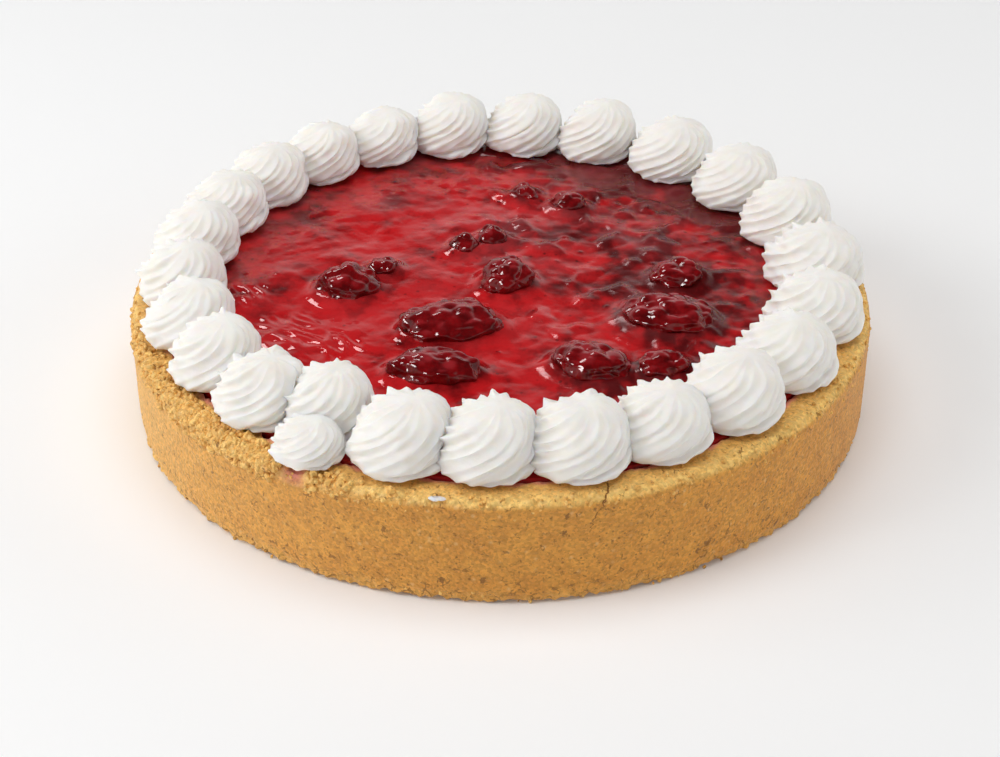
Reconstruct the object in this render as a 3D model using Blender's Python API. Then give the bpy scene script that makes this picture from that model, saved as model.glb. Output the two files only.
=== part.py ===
"""A baked cheesecake: a crumb crust filled to its rim, a glossy berry topping and a ring of cream swirls.

Metres, +Z up. The cake stands on z = 0 with its middle on the Z axis, and -Y is its front.
Run with: blender --background --python part.py
"""

import math
import random

import bmesh
import bpy
from mathutils import Matrix, Vector, noise

# Driving sizes of the cake
CAKE_RADIUS = 0.115
CAKE_HEIGHT = 0.0345
TOPPING_RADIUS = 0.104
TOPPING_DEPTH = 0.0042
GAP = 0.0003

# Crumb crust
CRUST_SECTORS = 96
FOOT_ROUND = 0.0016
SHOULDER_ROUND = 0.0045
SIDE_ROUGHNESS = 0.0004
FOOT_ROUGHNESS = 0.0012
RIM_ROUGHNESS = 0.0013
CRUMBLE_ANGLE = math.radians(222)
CRUMBLE_SPREAD = math.radians(34)
CRUMBLE_GAIN = 1.2
CHIP_ANGLE = math.radians(241)
CHIP_HALF_WIDTH = math.radians(3.2)
CHIP_DEPTH = 0.0026
CHIP_INWARDS = 0.6
BITE_LENGTH = 0.009
HOLLOW_TO_BITE = 3.2
HOLLOW_OFFSET = Vector((7.0, 3.0, 5.0))
SMALL_BITE_SHARE = 0.65
HOLLOW_SHARE = 0.75
INNER_RIM_ROUND = 0.0012
INNER_RIM_DROP = 0.0010
CRACK_ANGLE = math.radians(284.4)
CRACK_LEAN = math.radians(-3.4)
CRACK_LENGTH = 0.0095
CRACK_WIDTH = 0.0012
CRACK_DEPTH = 0.0048
CRACK_STEPS = 5
CRACK_JITTER = math.radians(0.45)
CRACK_SEED = 5
CUTTER_ABOVE = 0.001
CUTTER_OUTSIDE = 0.002
# Width and depth left at the lower end of the crack, as shares of those at the rim
CRACK_END_WIDTH = 0.13
CRACK_END_DEPTH = 0.38

# Berry topping
TOPPING_RINGS = 15
RIPPLE_HEIGHT = 0.0011
RIPPLE_LENGTH = 0.021
RIPPLE_STRETCH = 1.7
RIPPLE_PLACE = 0.3
FINER_RIPPLE = 2.1
FINER_RIPPLE_SHARE = 0.5
CALM_EDGE = 0.0240
CALM_EDGE_END = 0.6
CALM_ROUND_BERRY = 0.0075

# Cream swirls
SWIRL_COUNT = 24
SWIRL_RING_RADIUS = 0.0986
SWIRL_RING_SHIFT = 0.0022
SWIRL_RING_SHIFT_ANGLE = math.radians(105)
SWIRL_RADIAL_REACH = 0.0144
SWIRL_REACH_GAIN = 0.0014
SWIRL_REACH_GAIN_ANGLE = math.radians(-20)
SWIRL_OUTER_LIMIT = 0.1138
SWIRL_SIDE_REACH = 0.0146
SWIRL_HEIGHT = 0.0166
SWIRL_RIDGES = 16
SWIRL_TWIST = math.radians(84)
SWIRL_GROOVE = 0.14
SWIRL_RIDGE_GAIN = 0.02
SWIRL_LEAN = Vector((0.0030, 0.0022, 0.0))
SWIRL_LEAN_RANGE = (0.7, 1.2)
SWIRL_UNEVENNESS = 0.05
SWIRL_DENT_SHARE = 0.5
SWIRL_DENTS_ROUND = 2.0
SWIRL_NOISE_STEP = 40
SWIRL_SEED = 11
# Height and radius of each level of a swirl, as shares of the whole
SWIRL_LEVELS = ((0.0, 0.90), (0.22, 1.0), (0.52, 0.90), (0.80, 0.63), (0.96, 0.29))
# The swirls sit closer together on one side: two waves that shift their even spacing round the ring
SPACING_START = math.radians(3.6)
SPACING_WAVES = (
    (1, math.radians(6.5), math.radians(95)),
    (2, math.radians(1.6), math.radians(111)),
)

# One swirl was piped twice: its body sits further in, and a small second swirl stands before it on the rim
DOUBLE_SWIRL = 22
DOUBLE_INNER_RADIUS = 0.0916
DOUBLE_INNER_TURN = math.radians(-3.0)
DOUBLE_OUTER_RADIUS = 0.1052
DOUBLE_PARTING_RADIUS = 0.1008
SECOND_RADIAL_REACH = 0.0082
SECOND_SIDE_REACH = 0.0108
SECOND_HEIGHT = 0.0100

# Berries: place of the middle, half length, half width, turn and height of each
BERRY_SECTORS = 16
BERRY_LEVELS = ((0.0, 0.93), (0.34, 1.0), (0.70, 0.80), (0.93, 0.44))
BERRY_LUMPS = 0.11
BERRY_LUMPS_ROUND = 3
BERRY_LUMPS_UP = 2
BERRIES = (
    (-0.0480, -0.0020, 0.0102, 0.0086, 12, 0.0072),
    (-0.0370, 0.0092, 0.0047, 0.0040, 35, 0.0042),
    (0.0020, 0.0010, 0.0090, 0.0086, 0, 0.0074),
    (-0.0150, -0.0252, 0.0162, 0.0104, 12, 0.0070),
    (-0.0192, -0.0510, 0.0142, 0.0086, -4, 0.0062),
    (0.0086, 0.0592, 0.0046, 0.0044, 0, 0.0040),
    (0.0224, 0.0520, 0.0061, 0.0046, -10, 0.0042),
    (-0.0116, 0.0240, 0.0041, 0.0041, 0, 0.0040),
    (-0.0026, 0.0288, 0.0049, 0.0046, 0, 0.0045),
    (0.0556, 0.0040, 0.0088, 0.0075, -8, 0.0054),
    (0.0512, -0.0206, 0.0155, 0.0098, -14, 0.0056),
    (0.0264, -0.0482, 0.0124, 0.0090, -24, 0.0062),
    (0.0478, -0.0486, 0.0080, 0.0056, 15, 0.0050),
)

# Levels that follow from the sizes above
TOPPING_LEVEL = CAKE_HEIGHT - GAP
RECESS_FLOOR = TOPPING_LEVEL - TOPPING_DEPTH - GAP
RECESS_RADIUS = TOPPING_RADIUS + 2 * GAP
CREAM_BASE = CAKE_HEIGHT + GAP


def clear_scene():
    for old in list(bpy.data.objects):
        bpy.data.objects.remove(old, do_unlink=True)


def finish_material(name, colour, roughness, coat=0.0):
    material = bpy.data.materials.new(name)
    material.use_nodes = True
    shader = material.node_tree.nodes["Principled BSDF"]
    shader.inputs["Base Color"].default_value = (*colour, 1.0)
    shader.inputs["Roughness"].default_value = roughness
    shader.inputs["Metallic"].default_value = 0.0
    shader.inputs["Coat Weight"].default_value = coat
    material.diffuse_color = (*colour, 1.0)
    return material


def add_object(name, bm, material, sharp_angle=math.radians(50)):
    """Turns a bmesh into a named object with outward faces."""
    bmesh.ops.recalc_face_normals(bm, faces=bm.faces)
    mesh = bpy.data.meshes.new(name)
    bm.to_mesh(mesh)
    bm.free()
    mesh.materials.append(material)
    mesh.shade_smooth()
    mesh.set_sharp_from_angle(angle=sharp_angle)
    made = bpy.data.objects.new(name, mesh)
    bpy.context.scene.collection.objects.link(made)
    return made


def loft(rings, tip=None):
    """A closed bmesh through rings of points, from the lowest up. It ends flat, or above in a tip if one is given."""
    bm = bmesh.new()
    loops = [[bm.verts.new(point) for point in ring] for ring in rings]
    for lower, upper in zip(loops, loops[1:]):
        for here in range(len(lower)):
            after = (here + 1) % len(lower)
            bm.faces.new((lower[here], lower[after], upper[after], upper[here]))
    bm.faces.new(list(reversed(loops[0])))
    if tip is None:
        bm.faces.new(loops[-1])
    else:
        top = bm.verts.new(tip)
        for here in range(len(loops[-1])):
            bm.faces.new((loops[-1][here], loops[-1][(here + 1) % len(loops[-1])], top))
    return bm


def polar(radius, angle, z=0.0):
    return Vector((radius * math.cos(angle), radius * math.sin(angle), z))


def turned(vector, degrees):
    return Matrix.Rotation(math.radians(degrees), 3, "Z") @ vector


def angle_between(first, second):
    return abs(math.remainder(first - second, math.tau))


def smooth_step(value, low, high):
    share = min(max((value - low) / (high - low), 0.0), 1.0)
    return share * share * (3 - 2 * share)


def crumb_bite(point, size):
    """How much crumb is missing at a point, from 0 to about 1: small bites on a few larger hollows."""
    small = abs(noise.noise(point / size))
    large = abs(noise.noise(point / (HOLLOW_TO_BITE * size) + HOLLOW_OFFSET))
    return SMALL_BITE_SHARE * small + HOLLOW_SHARE * large


def crumbling(angle):
    """Gain of the roughness where the rim has crumbled most."""
    away = angle_between(angle, CRUMBLE_ANGLE) / CRUMBLE_SPREAD
    return 1 + CRUMBLE_GAIN * math.exp(-away * away)


def chip(angle):
    """Depth of the single chip in the rim."""
    away = angle_between(angle, CHIP_ANGLE) / CHIP_HALF_WIDTH
    return CHIP_DEPTH * max(0.0, 1 - away)


# Each ring of the crust: radius, height, roughness inwards, roughness downwards, share of the chip
CRUST_RINGS = (
    (CAKE_RADIUS - FOOT_ROUND, 0.0, FOOT_ROUGHNESS, 0.0, 0.0),
    (CAKE_RADIUS - 0.25 * FOOT_ROUND, 0.35 * FOOT_ROUND, FOOT_ROUGHNESS, 0.0, 0.0),
    (CAKE_RADIUS, 2.6 * FOOT_ROUND, 0.5 * FOOT_ROUGHNESS, 0.0, 0.0),
    (CAKE_RADIUS, 0.5 * CAKE_HEIGHT, SIDE_ROUGHNESS, 0.0, 0.0),
    (CAKE_RADIUS, CAKE_HEIGHT - 1.3 * SHOULDER_ROUND, SIDE_ROUGHNESS, 0.0, 0.1),
    (CAKE_RADIUS - 0.20 * SHOULDER_ROUND, CAKE_HEIGHT - 0.45 * SHOULDER_ROUND, RIM_ROUGHNESS, 0.0, 0.7),
    (CAKE_RADIUS - SHOULDER_ROUND, CAKE_HEIGHT, 0.0, RIM_ROUGHNESS, 1.0),
    (RECESS_RADIUS + INNER_RIM_ROUND, CAKE_HEIGHT, 0.0, 0.5 * RIM_ROUGHNESS, 0.6),
    (RECESS_RADIUS, CAKE_HEIGHT - INNER_RIM_DROP, 0.0, 0.0, 0.0),
    (RECESS_RADIUS, RECESS_FLOOR, 0.0, 0.0, 0.0),
)


def crust_point(radius, z, inwards, downwards, chip_share, angle):
    bite = crumb_bite(polar(radius, angle, z), BITE_LENGTH) * crumbling(angle)
    missing = chip(angle) * chip_share
    return polar(radius - inwards * bite - CHIP_INWARDS * missing, angle, z - downwards * bite - missing)


def crack_cutter():
    """A crooked wedge down the crust from the rim, which opens the crack."""
    turns = random.Random(CRACK_SEED)
    rings = []
    for step in range(CRACK_STEPS):
        share = step / (CRACK_STEPS - 1)
        angle = CRACK_ANGLE + CRACK_LEAN * share + turns.uniform(-CRACK_JITTER, CRACK_JITTER)
        z = CAKE_HEIGHT + CUTTER_ABOVE - (CRACK_LENGTH + CUTTER_ABOVE) * share
        half_width = 0.5 * CRACK_WIDTH * (1 - (1 - CRACK_END_WIDTH) * share) / CAKE_RADIUS
        outside = CAKE_RADIUS + CUTTER_OUTSIDE
        inside = CAKE_RADIUS - CRACK_DEPTH * (1 - (1 - CRACK_END_DEPTH) * share)
        rings.append((polar(outside, angle - 2 * half_width, z), polar(outside, angle + 2 * half_width, z),
                      polar(inside, angle, z)))
    cutter = add_object("crack_cutter", loft(rings[::-1]), bpy.data.materials["crumb_crust"])
    cutter.hide_render = True
    cutter.display_type = "WIRE"
    return cutter


def build_crust(material):
    angles = [math.tau * sector / CRUST_SECTORS for sector in range(CRUST_SECTORS)]
    rings = [[crust_point(*ring, angle) for angle in angles] for ring in CRUST_RINGS]
    crust = add_object("crust", loft(rings), material)
    crack = crust.modifiers.new("crack", "BOOLEAN")
    crack.operation = "DIFFERENCE"
    crack.object = crack_cutter()


def berry_clearance(x, y):
    """Distance from a place on the topping to the nearest berry's edge, roughly."""
    nearest = TOPPING_RADIUS
    for middle_x, middle_y, half_length, half_width, turn, _ in BERRIES:
        away = turned(Vector((x - middle_x, y - middle_y, 0.0)), -turn)
        reach = math.hypot(away.x / half_length, away.y / half_width)
        if reach > 0:
            nearest = min(nearest, away.length * (1 - 1 / reach))
    return nearest


def topping_height(x, y):
    """Level of the topping: ripples that die out at the rim and round each berry."""
    place = Vector((x / RIPPLE_LENGTH, RIPPLE_STRETCH * y / RIPPLE_LENGTH, RIPPLE_PLACE))
    ripple = noise.noise(place) + FINER_RIPPLE_SHARE * noise.noise(FINER_RIPPLE * place)
    edge = TOPPING_RADIUS - CALM_EDGE_END * CALM_EDGE
    calm = 1 - smooth_step(math.hypot(x, y), TOPPING_RADIUS - CALM_EDGE, edge)
    calm *= smooth_step(berry_clearance(x, y), CALM_ROUND_BERRY, 2 * CALM_ROUND_BERRY)
    return TOPPING_LEVEL + RIPPLE_HEIGHT * ripple * calm


def build_topping(material):
    """Six triangles are divided evenly, and each six-sided ring is pushed out to a circle."""
    bm = bmesh.new()
    bmesh.ops.create_circle(bm, cap_ends=True, cap_tris=True, segments=6, radius=1.0)
    bmesh.ops.subdivide_edges(bm, edges=bm.edges, cuts=TOPPING_RINGS - 1, use_grid_fill=True)
    sides = [polar(1 / math.cos(math.radians(30)), math.radians(60 * side)) for side in range(6)]
    for vert in bm.verts:
        if vert.co.length > 1e-6:
            ring_share = max(vert.co.dot(side) for side in sides)
            vert.co *= TOPPING_RADIUS * ring_share / vert.co.length
    for vert in bm.verts:
        vert.co.z = topping_height(vert.co.x, vert.co.y)
    edge = [side for side in bm.edges if side.is_boundary]
    lowered = bmesh.ops.extrude_edge_only(bm, edges=edge)["geom"]
    for part in lowered:
        if isinstance(part, bmesh.types.BMVert):
            part.co.z = TOPPING_LEVEL - TOPPING_DEPTH
    bmesh.ops.holes_fill(bm, edges=[part for part in lowered if isinstance(part, bmesh.types.BMEdge)])
    add_object("berry_topping", bm, material)


def swirl_angle(index):
    even = math.radians(270) + math.tau * index / SWIRL_COUNT
    waves = sum(size * math.cos(count * even - phase) for count, size, phase in SPACING_WAVES)
    return even + SPACING_START + waves


def parting_planes(index):
    """The upright planes midway to the neighbours, each as (outward direction, distance from the axis)."""
    here = swirl_angle(index)
    after = swirl_angle(index + 1) if index + 1 < SWIRL_COUNT else swirl_angle(0) + math.tau
    before = swirl_angle(index - 1) if index > 0 else swirl_angle(SWIRL_COUNT - 1) - math.tau
    towards_after = polar(1.0, 0.5 * (here + after) + 0.5 * math.pi)
    towards_before = polar(1.0, 0.5 * (here + before) - 0.5 * math.pi)
    return [(towards_after, -0.5 * GAP), (towards_before, -0.5 * GAP)]


def held_back(middle, point, planes):
    """Draws a point towards the swirl's middle until it is behind each plane, as a neighbour presses cream."""
    out = point - middle
    share = 1.0
    for direction, distance in planes:
        along = direction.dot(out)
        if along > 0:
            share = min(share, (distance - direction.dot(middle)) / along)
    return middle + share * out


def build_swirl(name, middle, radial_reach, side_reach, height, planes, turns, material):
    """A piped swirl: sharp ridges that wind up to an off-centre top."""
    facing = math.atan2(middle.y, middle.x)
    start = turns.uniform(0.0, math.tau / SWIRL_RIDGES)
    lean = SWIRL_LEAN * (height / SWIRL_HEIGHT) * turns.uniform(*SWIRL_LEAN_RANGE)
    sectors = 2 * SWIRL_RIDGES
    rings = []
    for level, width in SWIRL_LEVELS:
        shift = lean * level * level
        ring = []
        for sector in range(sectors):
            angle = start + math.tau * sector / sectors + SWIRL_TWIST * level
            across = angle - facing
            reach = 1 / math.hypot(math.cos(across) / radial_reach, math.sin(across) / side_reach)
            ridge = 1 - SWIRL_GROOVE if sector % 2 else 1 + SWIRL_RIDGE_GAIN
            dent = noise.noise(polar(SWIRL_DENTS_ROUND, angle) + SWIRL_NOISE_STEP * middle)
            reach *= width * ridge * (1 + SWIRL_DENT_SHARE * SWIRL_UNEVENNESS * dent)
            ring.append(held_back(middle, middle + shift + polar(reach, angle), planes))
        for point in ring:
            point.z = CREAM_BASE + level * height
        rings.append(ring)
    tip = middle + lean
    tip.z = CREAM_BASE + height
    add_object(name, loft(rings, tip), material, sharp_angle=math.radians(120))


def build_swirls(material):
    turns = random.Random(SWIRL_SEED)

    def uneven():
        return 1 + SWIRL_UNEVENNESS * turns.uniform(-1, 1)

    for index in range(SWIRL_COUNT):
        name = f"cream_swirl_{index + 1:02d}"
        angle = swirl_angle(index)
        planes = parting_planes(index)
        reach = SWIRL_RADIAL_REACH + SWIRL_REACH_GAIN * math.cos(angle - SWIRL_REACH_GAIN_ANGLE)
        radius = SWIRL_RING_RADIUS + SWIRL_RING_SHIFT * math.cos(angle - SWIRL_RING_SHIFT_ANGLE)
        radius = min(radius, SWIRL_OUTER_LIMIT - reach)
        if index == DOUBLE_SWIRL:
            planes.append((polar(1.0, angle), DOUBLE_PARTING_RADIUS - 0.5 * GAP))
            radius = DOUBLE_INNER_RADIUS
            angle += DOUBLE_INNER_TURN
        build_swirl(
            name,
            polar(radius, angle),
            reach * uneven(),
            SWIRL_SIDE_REACH * uneven(),
            SWIRL_HEIGHT * uneven(),
            planes,
            turns,
            material,
        )
    angle = swirl_angle(DOUBLE_SWIRL)
    planes = parting_planes(DOUBLE_SWIRL)
    planes.append((-polar(1.0, angle), -DOUBLE_PARTING_RADIUS - 0.5 * GAP))
    build_swirl(
        f"cream_swirl_{SWIRL_COUNT + 1}",
        polar(DOUBLE_OUTER_RADIUS, angle),
        SECOND_RADIAL_REACH,
        SECOND_SIDE_REACH,
        SECOND_HEIGHT,
        planes,
        turns,
        material,
    )


def build_berry(number, place, material):
    """A lumpy berry that stands half out of the topping."""
    middle_x, middle_y, half_length, half_width, turn, height = place
    middle = Vector((middle_x, middle_y, 0.0))
    base = TOPPING_LEVEL + GAP
    rings = []
    for level, width in BERRY_LEVELS:
        ring = []
        for sector in range(BERRY_SECTORS):
            around = math.tau * sector / BERRY_SECTORS
            point = width * Vector((half_length * math.cos(around), half_width * math.sin(around), 0.0))
            lump = noise.noise(polar(BERRY_LUMPS_ROUND, around, BERRY_LUMPS_UP * level + number))
            point = turned(point, turn) * (1 + BERRY_LUMPS * (lump - 0.5))
            ring.append(middle + point + Vector((0, 0, base + level * height)))
        rings.append(ring)
    tip = middle + Vector((0, 0, base + height))
    add_object(f"berry_{number:02d}", loft(rings, tip), material)


def main():
    clear_scene()
    crumb = finish_material("crumb_crust", (0.60, 0.33, 0.10), 0.85)
    jelly = finish_material("berry_jelly", (0.36, 0.008, 0.010), 0.12, coat=0.6)
    fruit = finish_material("berry_fruit", (0.085, 0.004, 0.006), 0.18, coat=0.8)
    cream = finish_material("whipped_cream", (0.86, 0.83, 0.78), 0.55)
    build_crust(crumb)
    build_topping(jelly)
    for number, place in enumerate(BERRIES, 1):
        build_berry(number, place, fruit)
    build_swirls(cream)


main()
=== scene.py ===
"""The looks of a baked berry cheesecake: crumb crust, loose crumbs, berry glaze, berries and piped cream.

Laid out as a Blender add-on. Each operator makes one piece, or a group of like pieces, over the solids.
Lengths are metres in the frame's own axes: +Z is up, and -Y is the front of the cake.
"""

import math
import random

import bmesh
import bpy
from bpy.props import FloatProperty, FloatVectorProperty, IntProperty, PointerProperty
from bpy.types import Operator, Panel, PropertyGroup
from mathutils import Euler, Matrix, Vector, noise
from mathutils.geometry import convex_hull_2d


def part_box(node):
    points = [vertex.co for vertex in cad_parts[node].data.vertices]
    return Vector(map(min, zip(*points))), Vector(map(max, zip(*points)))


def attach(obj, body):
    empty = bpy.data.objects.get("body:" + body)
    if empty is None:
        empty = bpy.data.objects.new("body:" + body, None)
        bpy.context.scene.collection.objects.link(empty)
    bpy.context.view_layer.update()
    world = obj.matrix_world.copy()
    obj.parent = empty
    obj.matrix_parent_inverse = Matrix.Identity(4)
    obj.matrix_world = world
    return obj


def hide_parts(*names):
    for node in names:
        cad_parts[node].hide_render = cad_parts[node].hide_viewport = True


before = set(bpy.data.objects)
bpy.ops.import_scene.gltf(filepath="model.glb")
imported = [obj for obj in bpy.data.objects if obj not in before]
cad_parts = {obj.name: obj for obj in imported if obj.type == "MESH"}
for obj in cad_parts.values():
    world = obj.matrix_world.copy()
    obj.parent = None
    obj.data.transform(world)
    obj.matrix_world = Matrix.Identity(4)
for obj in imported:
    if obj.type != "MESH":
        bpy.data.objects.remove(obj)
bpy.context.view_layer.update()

bl_info = {
    "name": "Berry cheesecake",
    "version": (1, 0, 0),
    "blender": (4, 5, 0),
    "location": "3D View > Sidebar > Cheesecake",
    "description": "Models the crust, glaze, berries and piped cream of a cheesecake over its solids",
    "category": "Mesh",
}

# Sizes and names read from the frame
CRUST_LOW, CRUST_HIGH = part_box("crust")
GLAZE_LOW, GLAZE_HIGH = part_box("berry_topping")
SWIRL_NODES = sorted(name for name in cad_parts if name.startswith("cream_swirl_"))
BERRY_NODES = sorted(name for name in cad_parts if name.startswith("berry_") and name[-1].isdigit())
SEATING_GAP = 0.0003
CAKE_RADIUS = 0.5 * (CRUST_HIGH.y - CRUST_LOW.y)
CREAM_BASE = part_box(SWIRL_NODES[0])[0].z
CAKE_HEIGHT = CREAM_BASE - SEATING_GAP
GLAZE_RADIUS = 0.5 * (GLAZE_HIGH.x - GLAZE_LOW.x)
GLAZE_LEVEL = CAKE_HEIGHT - SEATING_GAP
GLAZE_FOOT = GLAZE_LOW.z
RECESS_RADIUS = GLAZE_RADIUS + 2 * SEATING_GAP
RECESS_FLOOR = GLAZE_FOOT - SEATING_GAP

# Places on the rim, as angles from +X
CRUMBLY_SIDE = math.radians(222)
# The left side, painted paler and more golden where the lamps light it most
PAINTED_LIGHT_SIDE = math.radians(192)
CHIP_PLACE = math.radians(239.8)
CRACK_TOP = math.radians(284.4)
CREAM_DAB_PLACE = math.radians(261.3)


def length(name, default, description, low=0.0, high=0.5):
    return FloatProperty(
        name=name, default=default, min=low, max=high, precision=5,
        subtype="DISTANCE", unit="LENGTH", description=description,
    )


def colour(name, default, description):
    return FloatVectorProperty(
        name=name, default=(*default, 1.0), size=4, min=0.0, max=1.0, subtype="COLOR",
        description=description,
    )


def share(name, default, description, low=0.0, high=1.0):
    return FloatProperty(name=name, default=default, min=low, max=high, description=description)


class CrustSettings(PropertyGroup):
    shoulder: length("Shoulder", 0.0032, "Rounding between the side and the rim")
    foot: length("Foot", 0.0016, "Rounding at the foot")
    rim_crumb: length("Rim crumb", 0.0020, "How far coarse crumbs stand out where the rim has crumbled")
    crumb_size: length("Crumb size", 0.0025, "Width of a coarse crumb")
    grain: length("Grain", 0.00030, "Relief of the fine grain all over")
    crack_length: length("Crack length", 0.0125, "How far the crack runs down from the rim")
    loose_crumbs: IntProperty(
        name="Loose crumbs", default=2400, min=0, description="Crumbs on the rim and the foot",
    )
    side: colour("Side", (0.725, 0.332, 0.050), "Pressed crumb on the side")
    side_dark: colour("Side, darker", (0.625, 0.262, 0.037), "Darker patches of the side")
    # The rim colour is also painted as light: a highlight along the shoulder's edge and over the lit left
    # side
    rim: colour("Rim", (0.950, 0.640, 0.200), "Golden crumb along the rim")
    fleck: colour("Flecks", (0.860, 0.560, 0.230), "Paler crumbs")
    # Painted shade in the pores, specks, cracks and holes of the crumb
    pore_shade: colour("Pores", (0.250, 0.100, 0.015), "Pores and cracks")
    stain: colour("Stain", (0.780, 0.230, 0.190), "Where the glaze has soaked into the rim")


class GlazeSettings(PropertyGroup):
    ripple: length("Ripples", 0.0009, "Height of the broad ripples")
    ripple_length: length("Ripple length", 0.027, "Length of a broad ripple")
    pulp: length("Pulp", 0.0013, "Height of the pulp under the surface")
    bright: colour("Bright", (0.560, 0.011, 0.014), "Glaze where it is thin")
    # Deep also paints shade: round the berries, under the back swirls, in ripple hollows and on one side of
    # each crease
    deep: colour("Deep", (0.080, 0.0012, 0.002), "Glaze where it is thick or dark fruit lies under it")
    # Painted sheen: milky streaks that stand in for reflections, most of them towards the back
    painted_sheen: colour("Haze", (0.620, 0.120, 0.130), "Milky streaks in the glaze")
    roughness: share("Roughness", 0.06, "Roughness of the wet surface")


class BerrySettings(PropertyGroup):
    lump: share("Lumps", 0.42, "Depth of the broad lumps as a share of the radius")
    fold: share("Folds", 0.06, "Depth of the sharp folds as a share of the radius")
    drupelet: length("Drupelet", 0.0042, "Width of a drupelet")
    dimple: length("Dimples", 0.0015, "Depth between the drupelets")
    flesh: colour("Flesh", (0.240, 0.003, 0.005), "Fruit that shows through the glaze")
    shade: colour("Shade", (0.075, 0.0012, 0.002), "Fruit in the folds")
    # Milky film of jelly on the berry tops, painted as a sheen on slopes that face up and back
    film_and_sheen: colour("Film", (0.340, 0.022, 0.028), "Milky jelly that lies on top of the fruit")


class CreamSettings(PropertyGroup):
    ridges: IntProperty(
        name="Ridges", default=16, min=5, max=40, description="Ridges that the nozzle leaves",
    )
    twist: FloatProperty(
        name="Twist", default=math.radians(98), subtype="ANGLE", unit="ROTATION",
        description="Turn of the ridges from the foot to the top",
    )
    groove: share("Groove", 0.080, "Depth of the valleys as a share of the radius")
    ragged: share("Ragged tips", 0.10, "How far torn tips stand out of the ridges, as a share of the radius")
    seam: share("Seam", 0.11, "Depth of the seam between the two turns, as a share of the radius")
    lean_right: share("Lean right", 0.27, "Place of the top towards +X, as a share of the radius", -1.0)
    lean_back: share("Lean back", 0.20, "Place of the top towards +Y, as a share of the radius", -1.0)
    cream: colour("Cream", (0.890, 0.868, 0.835), "Whipped cream")
    shade: colour("Cream, warmer", (0.865, 0.832, 0.780), "Warmer streaks of the cream")


class StageSettings(PropertyGroup):
    distance: length("Camera distance", 0.6555, "From the camera to the middle of the cake", high=10.0)
    elevation: FloatProperty(
        name="Camera elevation", default=math.radians(32.9), subtype="ANGLE", unit="ROTATION",
        description="Angle of the camera above the floor",
    )
    lens: FloatProperty(name="Lens", default=73.03, min=1.0, description="Focal length in millimetres")
    floor: colour("Floor", (0.93, 0.93, 0.93), "The pale floor")
    fill: share("Fill light", 1.0, "Strength of the light from all round", 0.0, 10.0)


SETTINGS = {
    "cheesecake_crust": CrustSettings,
    "cheesecake_glaze": GlazeSettings,
    "cheesecake_berries": BerrySettings,
    "cheesecake_cream": CreamSettings,
    "cheesecake_stage": StageSettings,
}


# Small helpers for places and shapes


def polar(radius, angle, z=0.0):
    return Vector((radius * math.cos(angle), radius * math.sin(angle), z))


def angle_between(first, second):
    return abs(math.remainder(first - second, math.tau))


def smooth_step(value, low, high):
    part = min(max((value - low) / (high - low), 0.0), 1.0)
    return part * part * (3 - 2 * part)


def bump(distance, width):
    """1 at a place and 0 a few widths away from it."""
    return math.exp(-((distance / width) ** 2))


# Helpers for modelling by operator


def start_piece():
    if bpy.context.mode != "OBJECT":
        bpy.ops.object.mode_set(mode="OBJECT")
    bpy.ops.object.select_all(action="DESELECT")


def work_on(piece):
    start_piece()
    piece.select_set(True)
    bpy.context.view_layer.objects.active = piece


def new_piece(name):
    """Names the primitive that was just added."""
    piece = bpy.context.object
    piece.name = name
    piece.data.name = name
    return piece


def edit_mesh(kind):
    """Opens the active piece for editing, with nothing selected."""
    bpy.ops.object.mode_set(mode="EDIT")
    bpy.ops.mesh.select_mode(type=kind)
    bpy.ops.mesh.select_all(action="DESELECT")


def select_where(kind, wanted):
    """Selects the vertices, edges or faces of the open mesh that the test wants."""
    bpy.ops.mesh.select_mode(type=kind)
    bpy.ops.mesh.select_all(action="DESELECT")
    mesh = bpy.context.edit_object.data
    bm = bmesh.from_edit_mesh(mesh)
    parts = {"VERT": bm.verts, "EDGE": bm.edges, "FACE": bm.faces}[kind]
    for part in parts:
        if wanted(part):
            part.select_set(True)
    bm.select_flush_mode()
    bmesh.update_edit_mesh(mesh)


def extrude_by(move):
    """Extrudes what is selected, and moves the new part."""
    bpy.ops.mesh.extrude_region_move(TRANSFORM_OT_translate={"value": move})


def apply_modifier(piece, modifier):
    work_on(piece)
    bpy.ops.object.modifier_apply(modifier=modifier.name)


def displace(piece, kind, size, strength, mid_level=0.5, group="", **texture_settings):
    """Pushes the surface in and out along its normals by a texture, and applies it."""
    texture = bpy.data.textures.new(f"{piece.name} {kind.lower()}", kind)
    texture.noise_scale = size
    for name, value in texture_settings.items():
        setattr(texture, name, value)
    modifier = piece.modifiers.new("Relief", "DISPLACE")
    modifier.texture = texture
    modifier.texture_coords = "LOCAL"
    modifier.strength = strength
    modifier.mid_level = mid_level
    modifier.vertex_group = group
    apply_modifier(piece, modifier)


def sink(piece, group, depth):
    """Pushes the surface inwards where the group is painted."""
    modifier = piece.modifiers.new("Sink", "DISPLACE")
    modifier.strength = -depth
    modifier.mid_level = 0.0
    modifier.vertex_group = group
    apply_modifier(piece, modifier)


def subdivide_smooth(piece, levels):
    modifier = piece.modifiers.new("Subdivision", "SUBSURF")
    modifier.levels = levels
    modifier.render_levels = levels
    apply_modifier(piece, modifier)


def soften(piece, factor, times):
    modifier = piece.modifiers.new("Soften", "SMOOTH")
    modifier.factor = factor
    modifier.iterations = times
    apply_modifier(piece, modifier)


def paint_group(piece, name, weights):
    group = piece.vertex_groups.new(name=name)
    for index, weight in enumerate(weights):
        if weight > 0.01:
            group.add([index], weight, "REPLACE")


def paint_attribute(piece, name, values):
    """A value for each vertex, which the piece's material reads by name."""
    layer = piece.data.attributes.new(name, "FLOAT", "POINT")
    layer.data.foreach_set("value", values)


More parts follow.
